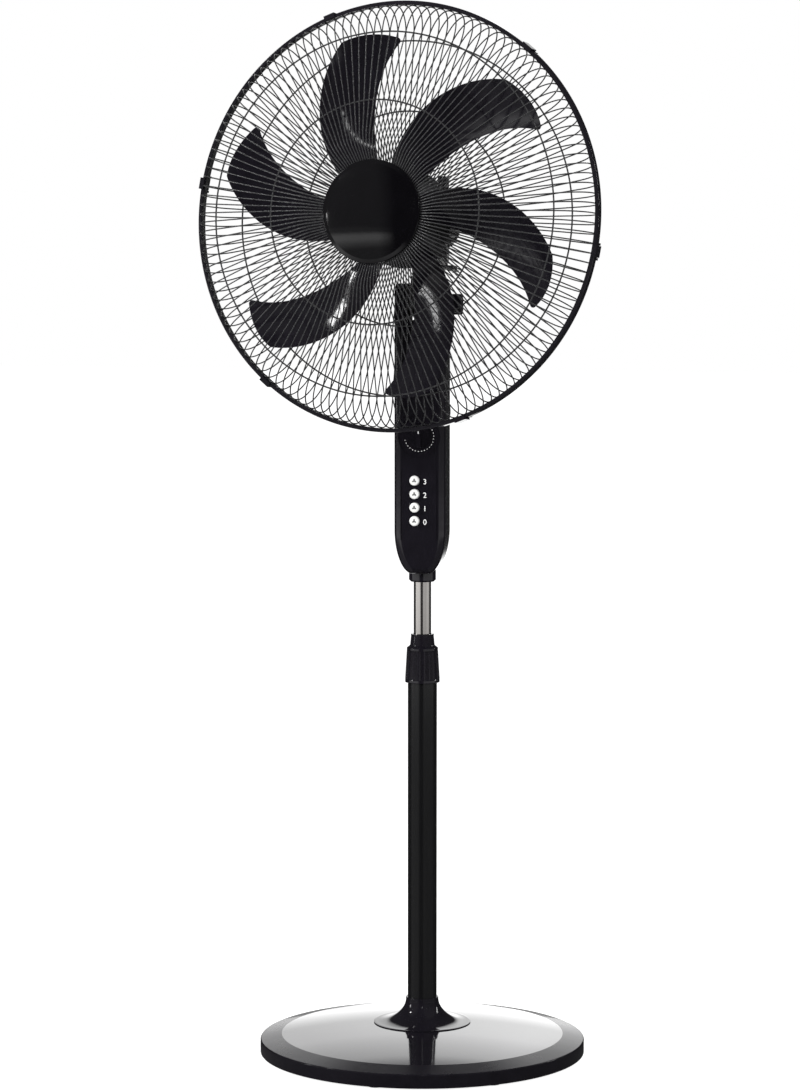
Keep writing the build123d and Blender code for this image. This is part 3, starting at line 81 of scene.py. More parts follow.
def joint_axis(name):
    """The axis of a joint, at rest."""
    return Vector(JOINTS[name]["axis"]).normalized()


def head_matrix():
    """From the head's own axes to the frame's."""
    forward = -joint_axis("blade_spin")
    up = joint_axis("oscillation")
    turn = Matrix((up.cross(forward), up, forward)).transposed().to_4x4()
    return Matrix.Translation(joint_place("blade_spin")) @ turn


HEAD = head_matrix()
UPRIGHT = Matrix.Identity(4)
FACING = Matrix(((1, 0, 0), (0, 0, -1), (0, 1, 0))).to_4x4()


def front_plane(x, y, z):
    """A drawing plane on the front of the column: its x to the right, y up, z to the front."""
    return Matrix.Translation((x, y, z)) @ FACING


def middle(node):
    """Centre of a node's box."""
    low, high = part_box(node)
    return (low + high) / 2


# ------------------------------------------------------------------ sizes and colours
class FAN_PG_finish(bpy.types.PropertyGroup):
    """Sizes and colours of the fan's finish that can be set by themselves."""

    plastic_colour: FloatVectorProperty(
        name="Black plastic", description="Colour of the glossy mouldings",
        subtype="COLOR", size=3, default=(0.005, 0.0044, 0.0063), min=0, max=1)
    wire_colour: FloatVectorProperty(
        name="Guard wire", description="Colour of the coated guard wires",
        subtype="COLOR", size=3, default=(0.026, 0.026, 0.027), min=0, max=1)
    button_colour: FloatVectorProperty(
        name="Buttons", description="Colour of the push buttons",
        subtype="COLOR", size=3, default=(0.80, 0.80, 0.78), min=0, max=1)
    print_colour: FloatVectorProperty(
        name="Printing", description="Colour of the numbers and the dial marks",
        subtype="COLOR", size=3, default=(0.86, 0.86, 0.85), min=0, max=1)
    wire_count: IntProperty(
        name="Wires", description="Number of wires in each half of the guard",
        default=135, min=24, max=240)
    wire_radius: FloatProperty(
        name="Wire radius", description="Radius of a guard wire",
        subtype="DISTANCE", unit="LENGTH", default=0.8 * MM, min=0.3 * MM, max=2 * MM)
    grip_count: IntProperty(
        name="Grip ribs", description="Number of ribs round the lock nut",
        default=20, min=6, max=60)
    vent_count: IntProperty(
        name="Motor ribs", description="Number of cooling ribs round the motor's rear cover",
        default=30, min=6, max=90)
    number_height: FloatProperty(
        name="Number size", description="Height of the numbers beside the buttons",
        subtype="DISTANCE", unit="LENGTH", default=6.4 * MM, min=2 * MM, max=12 * MM)
    dial_marks: IntProperty(
        name="Dial marks", description="Number of dots round the timer knob",
        default=19, min=4, max=60)
    dial_mark_radius: FloatProperty(
        name="Mark radius", description="Radius of one dot of the dial",
        subtype="DISTANCE", unit="LENGTH", default=0.6 * MM, min=0.2 * MM, max=2 * MM)


def settings():
    """The scene's own copy of the finish settings."""
    return bpy.context.scene.fan_finish


# ------------------------------------------------------------------ shader maths
class Signal:
    """A socket's value, written in Python's own arithmetic."""

    def __init__(self, tree, socket):
        self.tree = tree
        self.socket = socket

    def maths(self, operation, *values):
        node = self.tree.nodes.new("ShaderNodeMath")
        node.operation = operation
        for socket, value in zip(node.inputs, values):
            feed(self.tree, socket, value)
        return Signal(self.tree, node.outputs[0])

    def __add__(self, other):
        return self.maths("ADD", self, other)

    def __radd__(self, other):
        return self.maths("ADD", other, self)

    def __sub__(self, other):
        return self.maths("SUBTRACT", self, other)

    def __rsub__(self, other):
        return self.maths("SUBTRACT", other, self)

    def __mul__(self, other):
        return self.maths("MULTIPLY", self, other)

    def __rmul__(self, other):
        return self.maths("MULTIPLY", other, self)

    def __truediv__(self, other):
        return self.maths("DIVIDE", self, other)

    def __pow__(self, other):
        return self.maths("POWER", self, other)


def feed(tree, socket, value):
    """Link a signal to a socket, or set the socket's own value."""
    if isinstance(value, Signal):
        tree.links.new(value.socket, socket)
    elif isinstance(value, (tuple, list)) and len(value) == 3 and socket.type == "RGBA":
        socket.default_value = (*value, 1)
    else:
        socket.default_value = value


def set_stops(ramp, stops):
    """Fill a colour ramp with (position, value) stops, a value being a grey or a colour."""
    while len(ramp.elements) < len(stops):
        ramp.elements.new(1.0)
    for element, (position, value) in zip(ramp.elements, stops):
        element.position = position
        element.color = (*value, 1) if isinstance(value, tuple) else (value, value, value, 1)


class Recipe:
    """Node tree of one material, or of the world."""

    def __init__(self, owner):
        owner.use_nodes = True
        self.tree = owner.node_tree
        self.tree.nodes.clear()

    def node(self, kind, options=None, sockets=None, out=0):
        """A node of a type, with its options, then the values or links of its sockets."""
        node = self.tree.nodes.new(kind)
        for name, value in (options or {}).items():
            if name == "stops":
                set_stops(node.color_ramp, value)
            else:
                setattr(node, name, value)
        for name, value in (sockets or {}).items():
            feed(self.tree, node.inputs[name], value)
        return Signal(self.tree, node.outputs[out]) if len(node.outputs) else node

    def place(self):
        """Object coordinates, which are the frame's own metres."""
        return self.node("ShaderNodeTexCoord", out="Object")

    def noise(self, scale, detail=3.0, stretch=(1, 1, 1)):
        """Noise from 0 to 1 at a scale per metre, stretched along the axes."""
        vector = self.node("ShaderNodeMapping", sockets={"Vector": self.place(), "Scale": stretch})
        return self.node("ShaderNodeTexNoise", sockets={
            "Vector": vector, "Scale": scale, "Detail": detail})

    def ramp(self, value, *stops):
        """A colour ramp through its stops."""
        return self.node("ShaderNodeValToRGB", {"stops": stops}, {"Fac": value})

    def blend(self, factor, first, second):
        """One colour into another."""
        node = self.tree.nodes.new("ShaderNodeMix")
        node.data_type = "RGBA"
        feed(self.tree, node.inputs[0], factor)
        feed(self.tree, node.inputs[6], first)
        feed(self.tree, node.inputs[7], second)
        return Signal(self.tree, node.outputs[2])

    def bump(self, height, depth, strength=1.0):
        """A normal from a height between 0 and 1 that stands for a depth in metres."""
        return self.node("ShaderNodeBump", sockets={
            "Height": height, "Distance": depth, "Strength": strength})

    def surface(self, shader, kind="ShaderNodeOutputMaterial"):
        self.node(kind, sockets={"Surface": shader})


def material(name, **sockets):
    """A material of one Principled shader. Sockets are named with _ for a space."""
    owner = bpy.data.materials.new(name)
    recipe = Recipe(owner)
    values = {key.replace("_", " "): value(recipe) if callable(value) else value
              for key, value in sockets.items()}
    recipe.surface(recipe.node("ShaderNodeBsdfPrincipled", sockets=values))
    return owner


def gloss_plastic(colour, name="gloss_black_abs"):
    """Polished black ABS: deep gloss with a faint moulded ripple and handling marks."""
    return material(
        name,
        Base_Color=lambda r: r.blend(r.noise(60), tuple(colour), tuple(c * 1.8 for c in colour)),
        Roughness=lambda r: r.noise(35, 4) * 0.07 + 0.05,
        IOR=1.5, Coat_Weight=0.3, Coat_Roughness=0.03, Coat_IOR=1.5,
        Normal=lambda r: r.bump(r.noise(140, 2), 0.00004))


def base_plastic(colour):
    """The base's polished top inside a satin bevel."""
    bevel_start, side_top, on_bevel = 174.5 * MM, 18.5 * MM, 0.6

    def bevel(r):
        """0 on the top of the base, 0.6 on its bevel and 1 on its side."""
        split = r.tree.nodes.new("ShaderNodeSeparateXYZ")
        feed(r.tree, split.inputs[0], r.place())
        x, y, height = (Signal(r.tree, socket) for socket in split.outputs)
        radius = (x * x + y * y) ** 0.5
        side = height.maths("LESS_THAN", height, side_top)
        outside = radius.maths("GREATER_THAN", radius, bevel_start)
        return outside * (side * (1 - on_bevel) + on_bevel)

    return material(
        "base_black_abs",
        Base_Color=lambda r: r.blend(r.noise(60), tuple(colour), tuple(c * 1.8 for c in colour)),
        Roughness=lambda r: r.noise(35, 4) * 0.06 + 0.07 + bevel(r) * 0.3,
        IOR=1.25, Coat_Weight=lambda r: 1.0 - bevel(r), Coat_Roughness=0.05, Coat_IOR=1.65,
        Normal=lambda r: r.bump(r.noise(140, 2), 0.00004))


def satin_plastic():
    """Plain black nylon with a spark-eroded grain."""
    return material(
        "satin_black_nylon",
        Base_Color=lambda r: r.blend(r.noise(300), (0.012, 0.012, 0.013), (0.026, 0.026, 0.028)),
        Roughness=lambda r: r.noise(120) * 0.2 + 0.4,
        Normal=lambda r: r.bump(r.noise(1800, 2), 0.00006))


def coated_wire(colour):
    """Dipped black coating on drawn wire, slightly uneven along its length."""
    return material(
        "black_wire_coating",
        Base_Color=lambda r: r.blend(r.noise(400), tuple(colour), tuple(c * 1.4 for c in colour)),
        Roughness=lambda r: r.noise(250) * 0.14 + 0.2,
        IOR=1.55, Coat_Weight=0.2, Coat_Roughness=0.12,
        Normal=lambda r: r.bump(r.noise(900, 2), 0.00003))


def enamel():
    """Stove enamel on the steel pole, with a slight vertical draw."""
    return material(
        "black_enamel",
        Base_Color=lambda r: r.blend(
            r.noise(90, 3, (1, 1, 0.1)), (0.003, 0.003, 0.0035), (0.007, 0.007, 0.0075)),
        Roughness=lambda r: r.noise(60, 3, (1, 1, 0.08)) * 0.1 + 0.1,
        IOR=1.52, Coat_Weight=0.4, Coat_Roughness=0.05,
        Normal=lambda r: r.bump(r.noise(220, 2, (1, 1, 0.25)), 0.00004))


def chrome():
    """Chromed steel tube, with fine polishing lines along it and a few dull streaks."""
    return material(
        "chrome_plate",
        Base_Color=lambda r: r.blend(
            r.noise(260, 3, (1, 1, 0.02)), (0.70, 0.67, 0.64), (0.88, 0.85, 0.82)),
        Metallic=1.0,
        Roughness=lambda r: r.noise(700, 3, (1, 1, 0.01)) * 0.16 + 0.06,
        Normal=lambda r: r.bump(r.noise(1400, 2, (1, 1, 0.02)), 0.00002))


def button_plastic(colour):
    """White moulded buttons, faintly greyed with use."""
    return material(
        "white_button",
        Base_Color=lambda r: r.blend(r.noise(500), tuple(colour), tuple(c * 0.88 for c in colour)),
        Roughness=lambda r: r.noise(300) * 0.15 + 0.28,
        Coat_Weight=0.2, Coat_Roughness=0.1,
        Normal=lambda r: r.bump(r.noise(1500, 2), 0.00002))


def print_ink(colour):
    """Pad-printed white ink."""
    return material(
        "white_print",
        Base_Color=lambda r: r.blend(r.noise(2500), tuple(colour), tuple(c * 0.9 for c in colour)),
        Roughness=lambda r: r.noise(800) * 0.2 + 0.4)


def mark_ink():
    """Dark ink pressed into the buttons."""
    return material(
        "dark_mark",
        Base_Color=lambda r: r.blend(r.noise(2500), (0.02, 0.02, 0.022), (0.04, 0.04, 0.04)),
        Roughness=lambda r: r.noise(800) * 0.2 + 0.5)


def pale_plastic():
    """Ivory phenolic of the switch and timer."""
    return material(
        "ivory_plastic",
        Base_Color=lambda r: r.blend(r.noise(200), (0.62, 0.60, 0.53), (0.55, 0.53, 0.46)),
        Roughness=lambda r: r.noise(400) * 0.2 + 0.35,
        Normal=lambda r: r.bump(r.noise(1200, 2), 0.00004))


def rubber():
    """Moulded rubber, dusty in its pores."""
    return material(
        "foot_rubber",
        Base_Color=lambda r: r.blend(r.noise(700), (0.018, 0.018, 0.018), (0.045, 0.044, 0.042)),
        Roughness=lambda r: r.noise(300) * 0.2 + 0.65,
        Normal=lambda r: r.bump(r.noise(1500, 3), 0.0001))


def cast_iron():
    """Sand-cast iron."""
    return material(
        "rough_iron",
        Base_Color=lambda r: r.blend(r.noise(120), (0.10, 0.10, 0.10), (0.19, 0.18, 0.17)),
        Metallic=0.6, Roughness=lambda r: r.noise(300) * 0.25 + 0.55,
        Normal=lambda r: r.bump(r.noise(500, 5), 0.0003))


def zinc_steel():
    """Zinc-plated steel with a faint turned grain."""
    return material(
        "zinc_plated_steel",
        Base_Color=lambda r: r.blend(r.noise(300), (0.55, 0.56, 0.56), (0.70, 0.70, 0.68)),
        Metallic=1.0, Roughness=lambda r: r.noise(900, 3, (1, 1, 0.1)) * 0.2 + 0.22,
        Normal=lambda r: r.bump(r.noise(1500, 2), 0.00002))


def cast_alloy():
    """Die-cast aluminium with a matt skin."""
    return material(
        "die_cast_alloy",
        Base_Color=lambda r: r.blend(r.noise(200), (0.48, 0.48, 0.48), (0.60, 0.60, 0.59)),
        Metallic=1.0, Roughness=lambda r: r.noise(400) * 0.2 + 0.42,
        Normal=lambda r: r.bump(r.noise(900, 4), 0.0001))


def bronze():
    """Sintered bronze, open-grained and oily."""
    return material(
        "sintered_bronze",
        Base_Color=lambda r: r.blend(r.noise(1200), (0.36, 0.22, 0.09), (0.52, 0.34, 0.15)),
        Metallic=1.0, Roughness=lambda r: r.noise(1000) * 0.2 + 0.35,
        Normal=lambda r: r.bump(r.noise(2500, 2), 0.00005))


def copper():
    """Varnished copper turns."""
    return material(
        "varnished_copper",
        Base_Color=lambda r: r.blend(r.noise(900), (0.42, 0.13, 0.05), (0.58, 0.22, 0.09)),
        Metallic=0.9, Roughness=lambda r: r.noise(800) * 0.2 + 0.3,
        Normal=lambda r: r.bump(r.noise(1600, 2), 0.0002))


PAINTS = {}


def mix_paints():
    """Every material, by the record's slot that it finishes, a darker copy of the black that paints shade on the
    cap, and two inks.
    """
    own = settings()
    # The cap is the same black ABS as the other mouldings, darkened to 0.22 of its colour: painted shade.
    cap_shaded_colour = [part * 0.22 for part in own.plastic_colour]
    PAINTS.update({
        "gloss_black": gloss_plastic(own.plastic_colour), "satin_black": satin_plastic(),
        "base_black": base_plastic(own.plastic_colour),
        "cap_shaded_black": gloss_plastic(cap_shaded_colour, "cap_shaded_black_abs"),
        "guard_wire": coated_wire(own.wire_colour), "black_enamel": enamel(),
        "chrome_tube": chrome(), "white_plastic": button_plastic(own.button_colour),
        "pale_plastic": pale_plastic(), "rubber_foot": rubber(), "iron_weight": cast_iron(),
        "zinc_steel": zinc_steel(), "cast_alloy": cast_alloy(), "bearing_bronze": bronze(),
        "winding_copper": copper(), "print": print_ink(own.print_colour), "mark": mark_ink(),
    })


# ------------------------------------------------------------------ making meshes
def rounded(outline, steps=5):
    """Points of a closed outline whose corners, where a third value gives a radius, are arcs."""
    points = []
    for index, corner in enumerate(outline):
        here = Vector(corner[:2])
        if len(corner) < 3:
            points.append(here)
            continue
        back = (Vector(outline[index - 1][:2]) - here).normalized()
        onward = (Vector(outline[(index + 1) % len(outline)][:2]) - here).normalized()
        half = acos(max(-1, min(1, back.dot(onward)))) / 2
        centre = here + (back + onward).normalized() * corner[2] / sin(half)
        first = here + back * corner[2] / tan(half) - centre
        last = here + onward * corner[2] / tan(half) - centre
        start, sweep = atan2(first.y, first.x), first.angle_signed(last)
        for step in range(steps + 1):
            angle = start - sweep * step / steps
            points.append(centre + Vector((cos(angle), sin(angle))) * corner[2])
    return points


def arc(centre, radius, start, end, steps):
    """Points of an arc, its angles in degrees. Two radii make it elliptical."""
    wide, tall = radius if isinstance(radius, tuple) else (radius, radius)
    angles = [radians(start + (end - start) * step / steps) for step in range(steps + 1)]
    return [(centre[0] + wide * cos(angle), centre[1] + tall * sin(angle)) for angle in angles]


def bulge(first, last, rise, steps=24):
    """Points of a shallow arc from one point to another, rising off the line between them."""
    first, last = Vector(first), Vector(last)
    across = last - first
    off = Vector((-across.y, across.x)).normalized() * rise
    shares = [step / steps for step in range(steps + 1)]
    return [tuple(first + across * share + off * 4 * share * (1 - share)) for share in shares]


def new_object(name, mesh, place, paint):
    """A linked object with its place in its mesh."""
    mesh.transform(place)
    piece = bpy.data.objects.new(name, mesh)
    bpy.context.scene.collection.objects.link(piece)
    if paint:
        mesh.materials.clear()
        mesh.materials.append(PAINTS[paint])
    return piece


def soften(mesh, angle=32):
    """Smooth faces, with the edges above an angle kept sharp, and normals outwards."""
    shell = bmesh.new()
    shell.from_mesh(mesh)
    bmesh.ops.recalc_face_normals(shell, faces=shell.faces)
    for face in shell.faces:
        face.smooth = True
    for edge in shell.edges:
        if len(edge.link_faces) == 2:
            edge.smooth = edge.calc_face_angle() < radians(angle)
    shell.to_mesh(mesh)
    shell.free()


def turned(name, outline, paint, place=UPRIGHT, segments=160):
    """A piece turned about z from an outline of (radius, height) points, smooth where round."""
    shell = bmesh.new()
    rings = []
    for point in rounded(outline):
        count = 1 if point.x < 1e-7 else segments
        rings.append([
            shell.verts.new((point.x * cos(2 * pi * n / count),
                             point.x * sin(2 * pi * n / count), point.y))
            for n in range(count)])
    closed = len(rings[0]) > 1 or len(rings[-1]) > 1
    for index in range(len(rings) if closed else len(rings) - 1):
        near, far = rings[index], rings[(index + 1) % len(rings)]
        if len(near) == 1 and len(far) == 1:
            continue
        for n in range(segments):
            corners = [near[n % len(near)], near[(n + 1) % len(near)],
                       far[(n + 1) % len(far)], far[n % len(far)]]
            shell.faces.new(list(dict.fromkeys(corners)))
    mesh = bpy.data.meshes.new(name)
    shell.to_mesh(mesh)
    shell.free()
    soften(mesh)
    piece = new_object(name, mesh, place, paint)
    weigh = piece.modifiers.new("even_shading", "WEIGHTED_NORMAL")
    weigh.keep_sharp = True
    return piece


def plate_mesh(name, outline, thickness):
    """A flat bar: an outline in x and y, its thickness along z both ways."""
    shell = bmesh.new()
    sides = [[shell.verts.new((*point, side * thickness / 2)) for point in outline]
             for side in (-1, 1)]
    shell.faces.new(reversed(sides[0]))
    shell.faces.new(sides[1])
    for n in range(len(outline)):
        after = (n + 1) % len(outline)
        shell.faces.new((sides[0][n], sides[0][after], sides[1][after], sides[1][n]))
    mesh = bpy.data.meshes.new(name)
    shell.to_mesh(mesh)
    shell.free()
    soften(mesh)
    return mesh


def line_mesh(name, points):
    """Edges through a row of points."""
    mesh = bpy.data.meshes.new(name)
    mesh.from_pydata([tuple(p) for p in points], [(n, n + 1) for n in range(len(points) - 1)], [])
    return mesh


# ------------------------------------------------------------------ geometry nodes
class Growth:
    """A Geometry Nodes tree with named inputs, run once on a mesh."""

    def __init__(self, name, **inputs):
        self.tree = bpy.data.node_groups.new(name, "GeometryNodeTree")
        self.values = {}
        sockets = self.tree.interface
        sockets.new_socket("Geometry", in_out="INPUT", socket_type="NodeSocketGeometry")
        for label, value in inputs.items():
            kind = {int: "NodeSocketInt", float: "NodeSocketFloat"}.get(
                type(value), "NodeSocketMaterial")
            socket = sockets.new_socket(label.replace("_", " "), in_out="INPUT", socket_type=kind)
            self.values[socket.identifier] = value
        sockets.new_socket("Geometry", in_out="OUTPUT", socket_type="NodeSocketGeometry")
        self.entry = self.tree.nodes.new("NodeGroupInput")

    def take(self, label):
        """A named input."""
        return Signal(self.tree, self.entry.outputs[label.replace("_", " ")])

    def node(self, kind, options=None, sockets=None, out=0):
        node = self.tree.nodes.new(kind)
        for name, value in (options or {}).items():
            setattr(node, name, value)
        for name, value in (sockets or {}).items():
            feed(self.tree, node.inputs[name], value)
        return Signal(self.tree, node.outputs[out])

    def round_the_axis(self, thing, copies, start=0.0, sweep=2 * pi):
        """Copies of a thing, turned about z by even steps."""
        index = self.node("GeometryNodeInputIndex")
        turn = self.node("ShaderNodeCombineXYZ", sockets={"Z": index * sweep / copies + start})
        points = self.node("GeometryNodePoints", sockets={"Count": copies})
        return self.node("GeometryNodeInstanceOnPoints", sockets={
            "Points": points, "Instance": thing, "Rotation": turn})

    def result(self, name, source, instances, place):
        """The grown mesh as a plain piece: instances made real, then painted."""
        real = self.node("GeometryNodeRealizeInstances", sockets={"Geometry": instances})
        painted = self.node("GeometryNodeSetMaterial", sockets={
            "Geometry": real, "Material": self.take("Paint")})
        end = self.tree.nodes.new("NodeGroupOutput")
        self.tree.links.new(painted.socket, end.inputs["Geometry"])
        seed = bpy.data.objects.new(name + "_seed", source)
        bpy.context.scene.collection.objects.link(seed)
        modifier = seed.modifiers.new("growth", "NODES")
        modifier.node_group = self.tree
        for identifier, value in self.values.items():
            modifier[identifier] = value
        graph = bpy.context.evaluated_depsgraph_get()
        mesh = bpy.data.meshes.new_from_object(seed.evaluated_get(graph), depsgraph=graph)
        bpy.data.objects.remove(seed)
        return new_object(name, mesh, place, None)


def wire_ring(name, path, copies, wire, paint, place, sides=8):
    """A bent wire or rib, repeated round the axis. The path is (radius, depth) points."""
    growth = Growth(name + "_nodes", Copies=copies, Wire_radius=wire, Paint=PAINTS[paint])
    line = growth.node("GeometryNodeMeshToCurve", sockets={"Mesh": growth.take("Geometry")})
    section = growth.node("GeometryNodeCurvePrimitiveCircle", sockets={
        "Resolution": sides, "Radius": growth.take("Wire_radius")})
    wire_mesh = growth.node("GeometryNodeCurveToMesh", sockets={
        "Curve": line, "Profile Curve": section, "Fill Caps": True})
    smooth = growth.node("GeometryNodeSetShadeSmooth", sockets={"Geometry": wire_mesh})
    spread = growth.round_the_axis(smooth, growth.take("Copies"))
    source = line_mesh(name, [(radius, 0, depth) for radius, depth in path])
    return growth.result(name, source, spread, place)


def copies_round(name, source, copies, paint, place, start=0.0, sweep=2 * pi):
    """A small mesh, repeated round the axis."""
    growth = Growth(name + "_nodes", Copies=copies, Start=start, Sweep=sweep, Paint=PAINTS[paint])
    spread = growth.round_the_axis(
        growth.take("Geometry"), growth.take("Copies"), growth.take("Start"), growth.take("Sweep"))
    return growth.result(name, source, spread, place)


# ------------------------------------------------------------------ pieces on the frame
def stands_for(piece, *nodes):
    """The piece takes the place of frame nodes and rides with them."""
    body = next(name for name, members in frame["record"]["behaviour"]["bodies"].items()
                if nodes[0] in members)
    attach(piece, body)
    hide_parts(*nodes)
    return piece


def joins(piece, node):
    """The piece is an addition to a frame node and rides with it."""
    body = next(name for name, members in frame["record"]["behaviour"]["bodies"].items()
                if node in members)
    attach(piece, body)
    return piece


class FAN_OT_paints(bpy.types.Operator):
    """Make the materials and give each frame node its own"""

    bl_idname = "fan.paints"
    bl_label = "Materials"

    def execute(self, context):
        mix_paints()
        for name, node in NODES.items():
            node.data.materials.clear()
            node.data.materials.append(PAINTS[SLOTS[name]])
        return {"FINISHED"}


class FAN_OT_base(bpy.types.Operator):
    """Make the round base and the flared trim at the foot of the pole"""

    bl_idname = "fan.base"
    bl_label = "Base"

    def execute(self, context):
        low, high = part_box("base_cover")
        edge, top, bottom = high.x, high.z, low.z
        wall, bevel, side_top = 2.6 * MM, 26 * MM, 19.5 * MM
        dome_edge, dome_rim, flat = edge - bevel, side_top + 5.8 * MM, 60 * MM
        outline = [(0, top)] + bulge((flat, top), (dome_edge, dome_rim), 1.6 * MM, 40)[:-1]
        outline += [
            (dome_edge, dome_rim, 1.0 * MM), (edge, side_top, 1.6 * MM), (edge, bottom, 0.8 * MM),
            (edge - wall, bottom), (edge - wall, side_top - wall),
            (dome_edge, dome_rim - wall), (flat, top - wall), (0, top - wall)]
        stands_for(turned("base_shell", outline, "base_black", segments=256), "base_cover")

        low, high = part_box("flare_cover")
        foot, foot_z, crown = high.x, low.z, high.z
        neck, bore, wall, lip = 20.2 * MM, 18.05 * MM, 2 * MM, 1.4 * MM
        start_z = foot_z + lip
        outline = [(foot - 0.3 * MM, foot_z), (foot, foot_z + 0.4 * MM), (foot, start_z - 0.4 * MM)]
        curve_top = crown - wall
        outline += [
            (neck + (foot - neck) * (1 - sin(t)), curve_top - (curve_top - start_z) * cos(t))
            for t in [pi / 2 * step / 40 for step in range(1, 41)]]
        outline += [(neck, crown, 0.5 * MM), (bore, crown, 0.4 * MM), (bore, foot_z)]
        stands_for(turned("flare_trim", outline, "gloss_black", segments=192), "flare_cover")
        return {"FINISHED"}


class FAN_OT_pole(bpy.types.Operator):
    """Make the two tubes of the pole and the lock nut between them"""

    bl_idname = "fan.pole"
    bl_label = "Pole"

    def execute(self, context):
        for piece_name, node, wall, paint in (
                ("pole_tube", "outer_tube", 1.5 * MM, "black_enamel"),
                ("sliding_tube", "inner_tube", 1.0 * MM, "chrome_tube")):
            low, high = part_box(node)
            radius = high.x
            outline = [
                (radius, low.z, 0.3 * MM), (radius, high.z, 0.3 * MM),
                (radius - wall, high.z, 0.3 * MM), (radius - wall, low.z, 0.3 * MM)]
            stands_for(turned(piece_name, outline, paint, segments=128), node)
        self.nut()
        return {"FINISHED"}

    def nut(self):
        """The lock nut: a turned body, with straight ribs to grip it by."""
        low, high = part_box("lock_nut")
        body, shoulder, neck, crown = high.x, 19.2 * MM, 15.2 * MM, 14.0 * MM
        shoulder_z, wide_bore, bore = low.z + 43 * MM, 18.4 * MM, 11.15 * MM
        skin = 0.7 * MM
        outline = [
            (wide_bore, low.z), (body, low.z, 0.8 * MM),
            (body - 0.1 * MM, low.z + 3.5 * MM, 0.5 * MM),
            (body - skin, low.z + 4.5 * MM, 0.5 * MM),
            (shoulder - skin, shoulder_z - 4 * MM, 0.5 * MM),
            (shoulder, shoulder_z - 3 * MM, 0.5 * MM), (shoulder, shoulder_z, 0.8 * MM),
            (neck, shoulder_z + 3 * MM, 1.5 * MM), (crown, high.z - 2 * MM, 1 * MM),
            (crown + 0.4 * MM, high.z, 0.6 * MM), (bore, high.z), (bore, high.z - 8 * MM),
            (wide_bore, high.z - 20 * MM)]
        nut = turned("nut_body", outline, "gloss_black", segments=160)
        stands_for(nut, "lock_nut")
        rib_radius = 1.25 * MM
        rib = [(body - 1.1 * MM, low.z + 4 * MM), (shoulder - 1.0 * MM, shoulder_z - 3.4 * MM)]
        grip = wire_ring("nut_grip", rib, settings().grip_count, rib_radius, "gloss_black",
                         UPRIGHT, 12)
        joins(grip, "lock_nut")


class FAN_OT_panel(bpy.types.Operator):
    """Print the numbers and dial marks on the column and the signs on the buttons"""

    bl_idname = "fan.panel"
    bl_label = "Control panel"

    def execute(self, context):
        self.numbers()
        self.dial()
        self.button_signs()
        return {"FINISHED"}

    def numbers(self):
        """Plain figures beside the buttons, 0 lowest."""
        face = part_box("box_front")[0].y
        height = settings().number_height
        aside, drop, font_share = 12.6 * MM, 1.2 * MM, 1.42
        for number in range(4):
            button = middle(f"button_{number}")
            text = bpy.data.curves.new(f"figure_{number}", "FONT")
            text.body = str(number)
            text.size = height * font_share
            text.align_x = "CENTER"
            text.offset = 0.012 * height
            text.extrude = 0.06 * MM
            text.resolution_u = 6
            seed = bpy.data.objects.new("figure_seed", text)
            bpy.context.scene.collection.objects.link(seed)
            graph = bpy.context.evaluated_depsgraph_get()
            mesh = bpy.data.meshes.new_from_object(seed.evaluated_get(graph), depsgraph=graph)
            bpy.data.objects.remove(seed)
            place = front_plane(button.x + aside, face, button.z - height / 2 - drop)
            figure = new_object(f"figure_{number}", mesh, place, "print")
            joins(figure, "box_front")

    def dial(self):
        """A part ring of dots round the timer knob, and the knob's pointer line.

        The dish in the frame is 1.6 mm deep, so the dots stand 0.4 mm in front of its floor.
        """
        own = settings()
        knob = middle("timer_knob")
        ring_radius, inset = 18 * MM, 1.2 * MM
        dots_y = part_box("box_front")[0].y + inset
        first, sweep = radians(195), radians(228)
        dot = plate_mesh("dial_dot", [
            (ring_radius + x, y)
            for x, y in arc((0, 0), own.dial_mark_radius, 0, 360, 12)[:-1]], 0.16 * MM)
        marks = copies_round("dial_dots", dot, own.dial_marks, "print",
                             front_plane(knob.x, dots_y, knob.z), first, sweep)
        joins(marks, "box_front")
        half_width, inner, outer, corner = 0.6 * MM, 4 * MM, 11 * MM, 0.5 * MM
        pointer = plate_mesh("pointer", rounded([
            (-half_width, inner, corner), (half_width, inner, corner),
            (half_width, outer, corner), (-half_width, outer, corner)], 4), 0.2 * MM)
        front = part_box("timer_knob")[0].y
        line = new_object("knob_pointer", pointer, front_plane(knob.x, front, knob.z), "print")
        joins(line, "timer_knob")

    def button_signs(self):
        """A small three-bladed sign on each button."""
        lobes, lobe_offset, thickness = 3, 1.4 * MM, 0.14 * MM
        lobe_half_width, lobe_half_length = 0.85 * MM, 1.3 * MM
        for number in range(4):
            button = f"button_{number}"
            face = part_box(button)[0].y
            lobe = plate_mesh("sign_lobe", arc(
                (0, lobe_offset), (lobe_half_width, lobe_half_length), 0, 360, 16)[:-1], thickness)
            place = front_plane(middle(button).x, face, middle(button).z)
            sign = copies_round(f"button_sign_{number}", lobe, lobes, "mark", place)
            joins(sign, button)


class FAN_OT_motor(bpy.types.Operator):
    """Rib the motor's rear cover"""

    bl_idname = "fan.motor"
    bl_label = "Motor cover"

    def execute(self, context):
        front, back, rib_radius = (46.4 * MM, -66 * MM), (33.6 * MM, -128 * MM), 1.0 * MM
        ribs = wire_ring("cover_ribs", [front, back], settings().vent_count, rib_radius,
                         "gloss_black", HEAD, 10)
        joins(ribs, "motor_rear_cover")
        return {"FINISHED"}


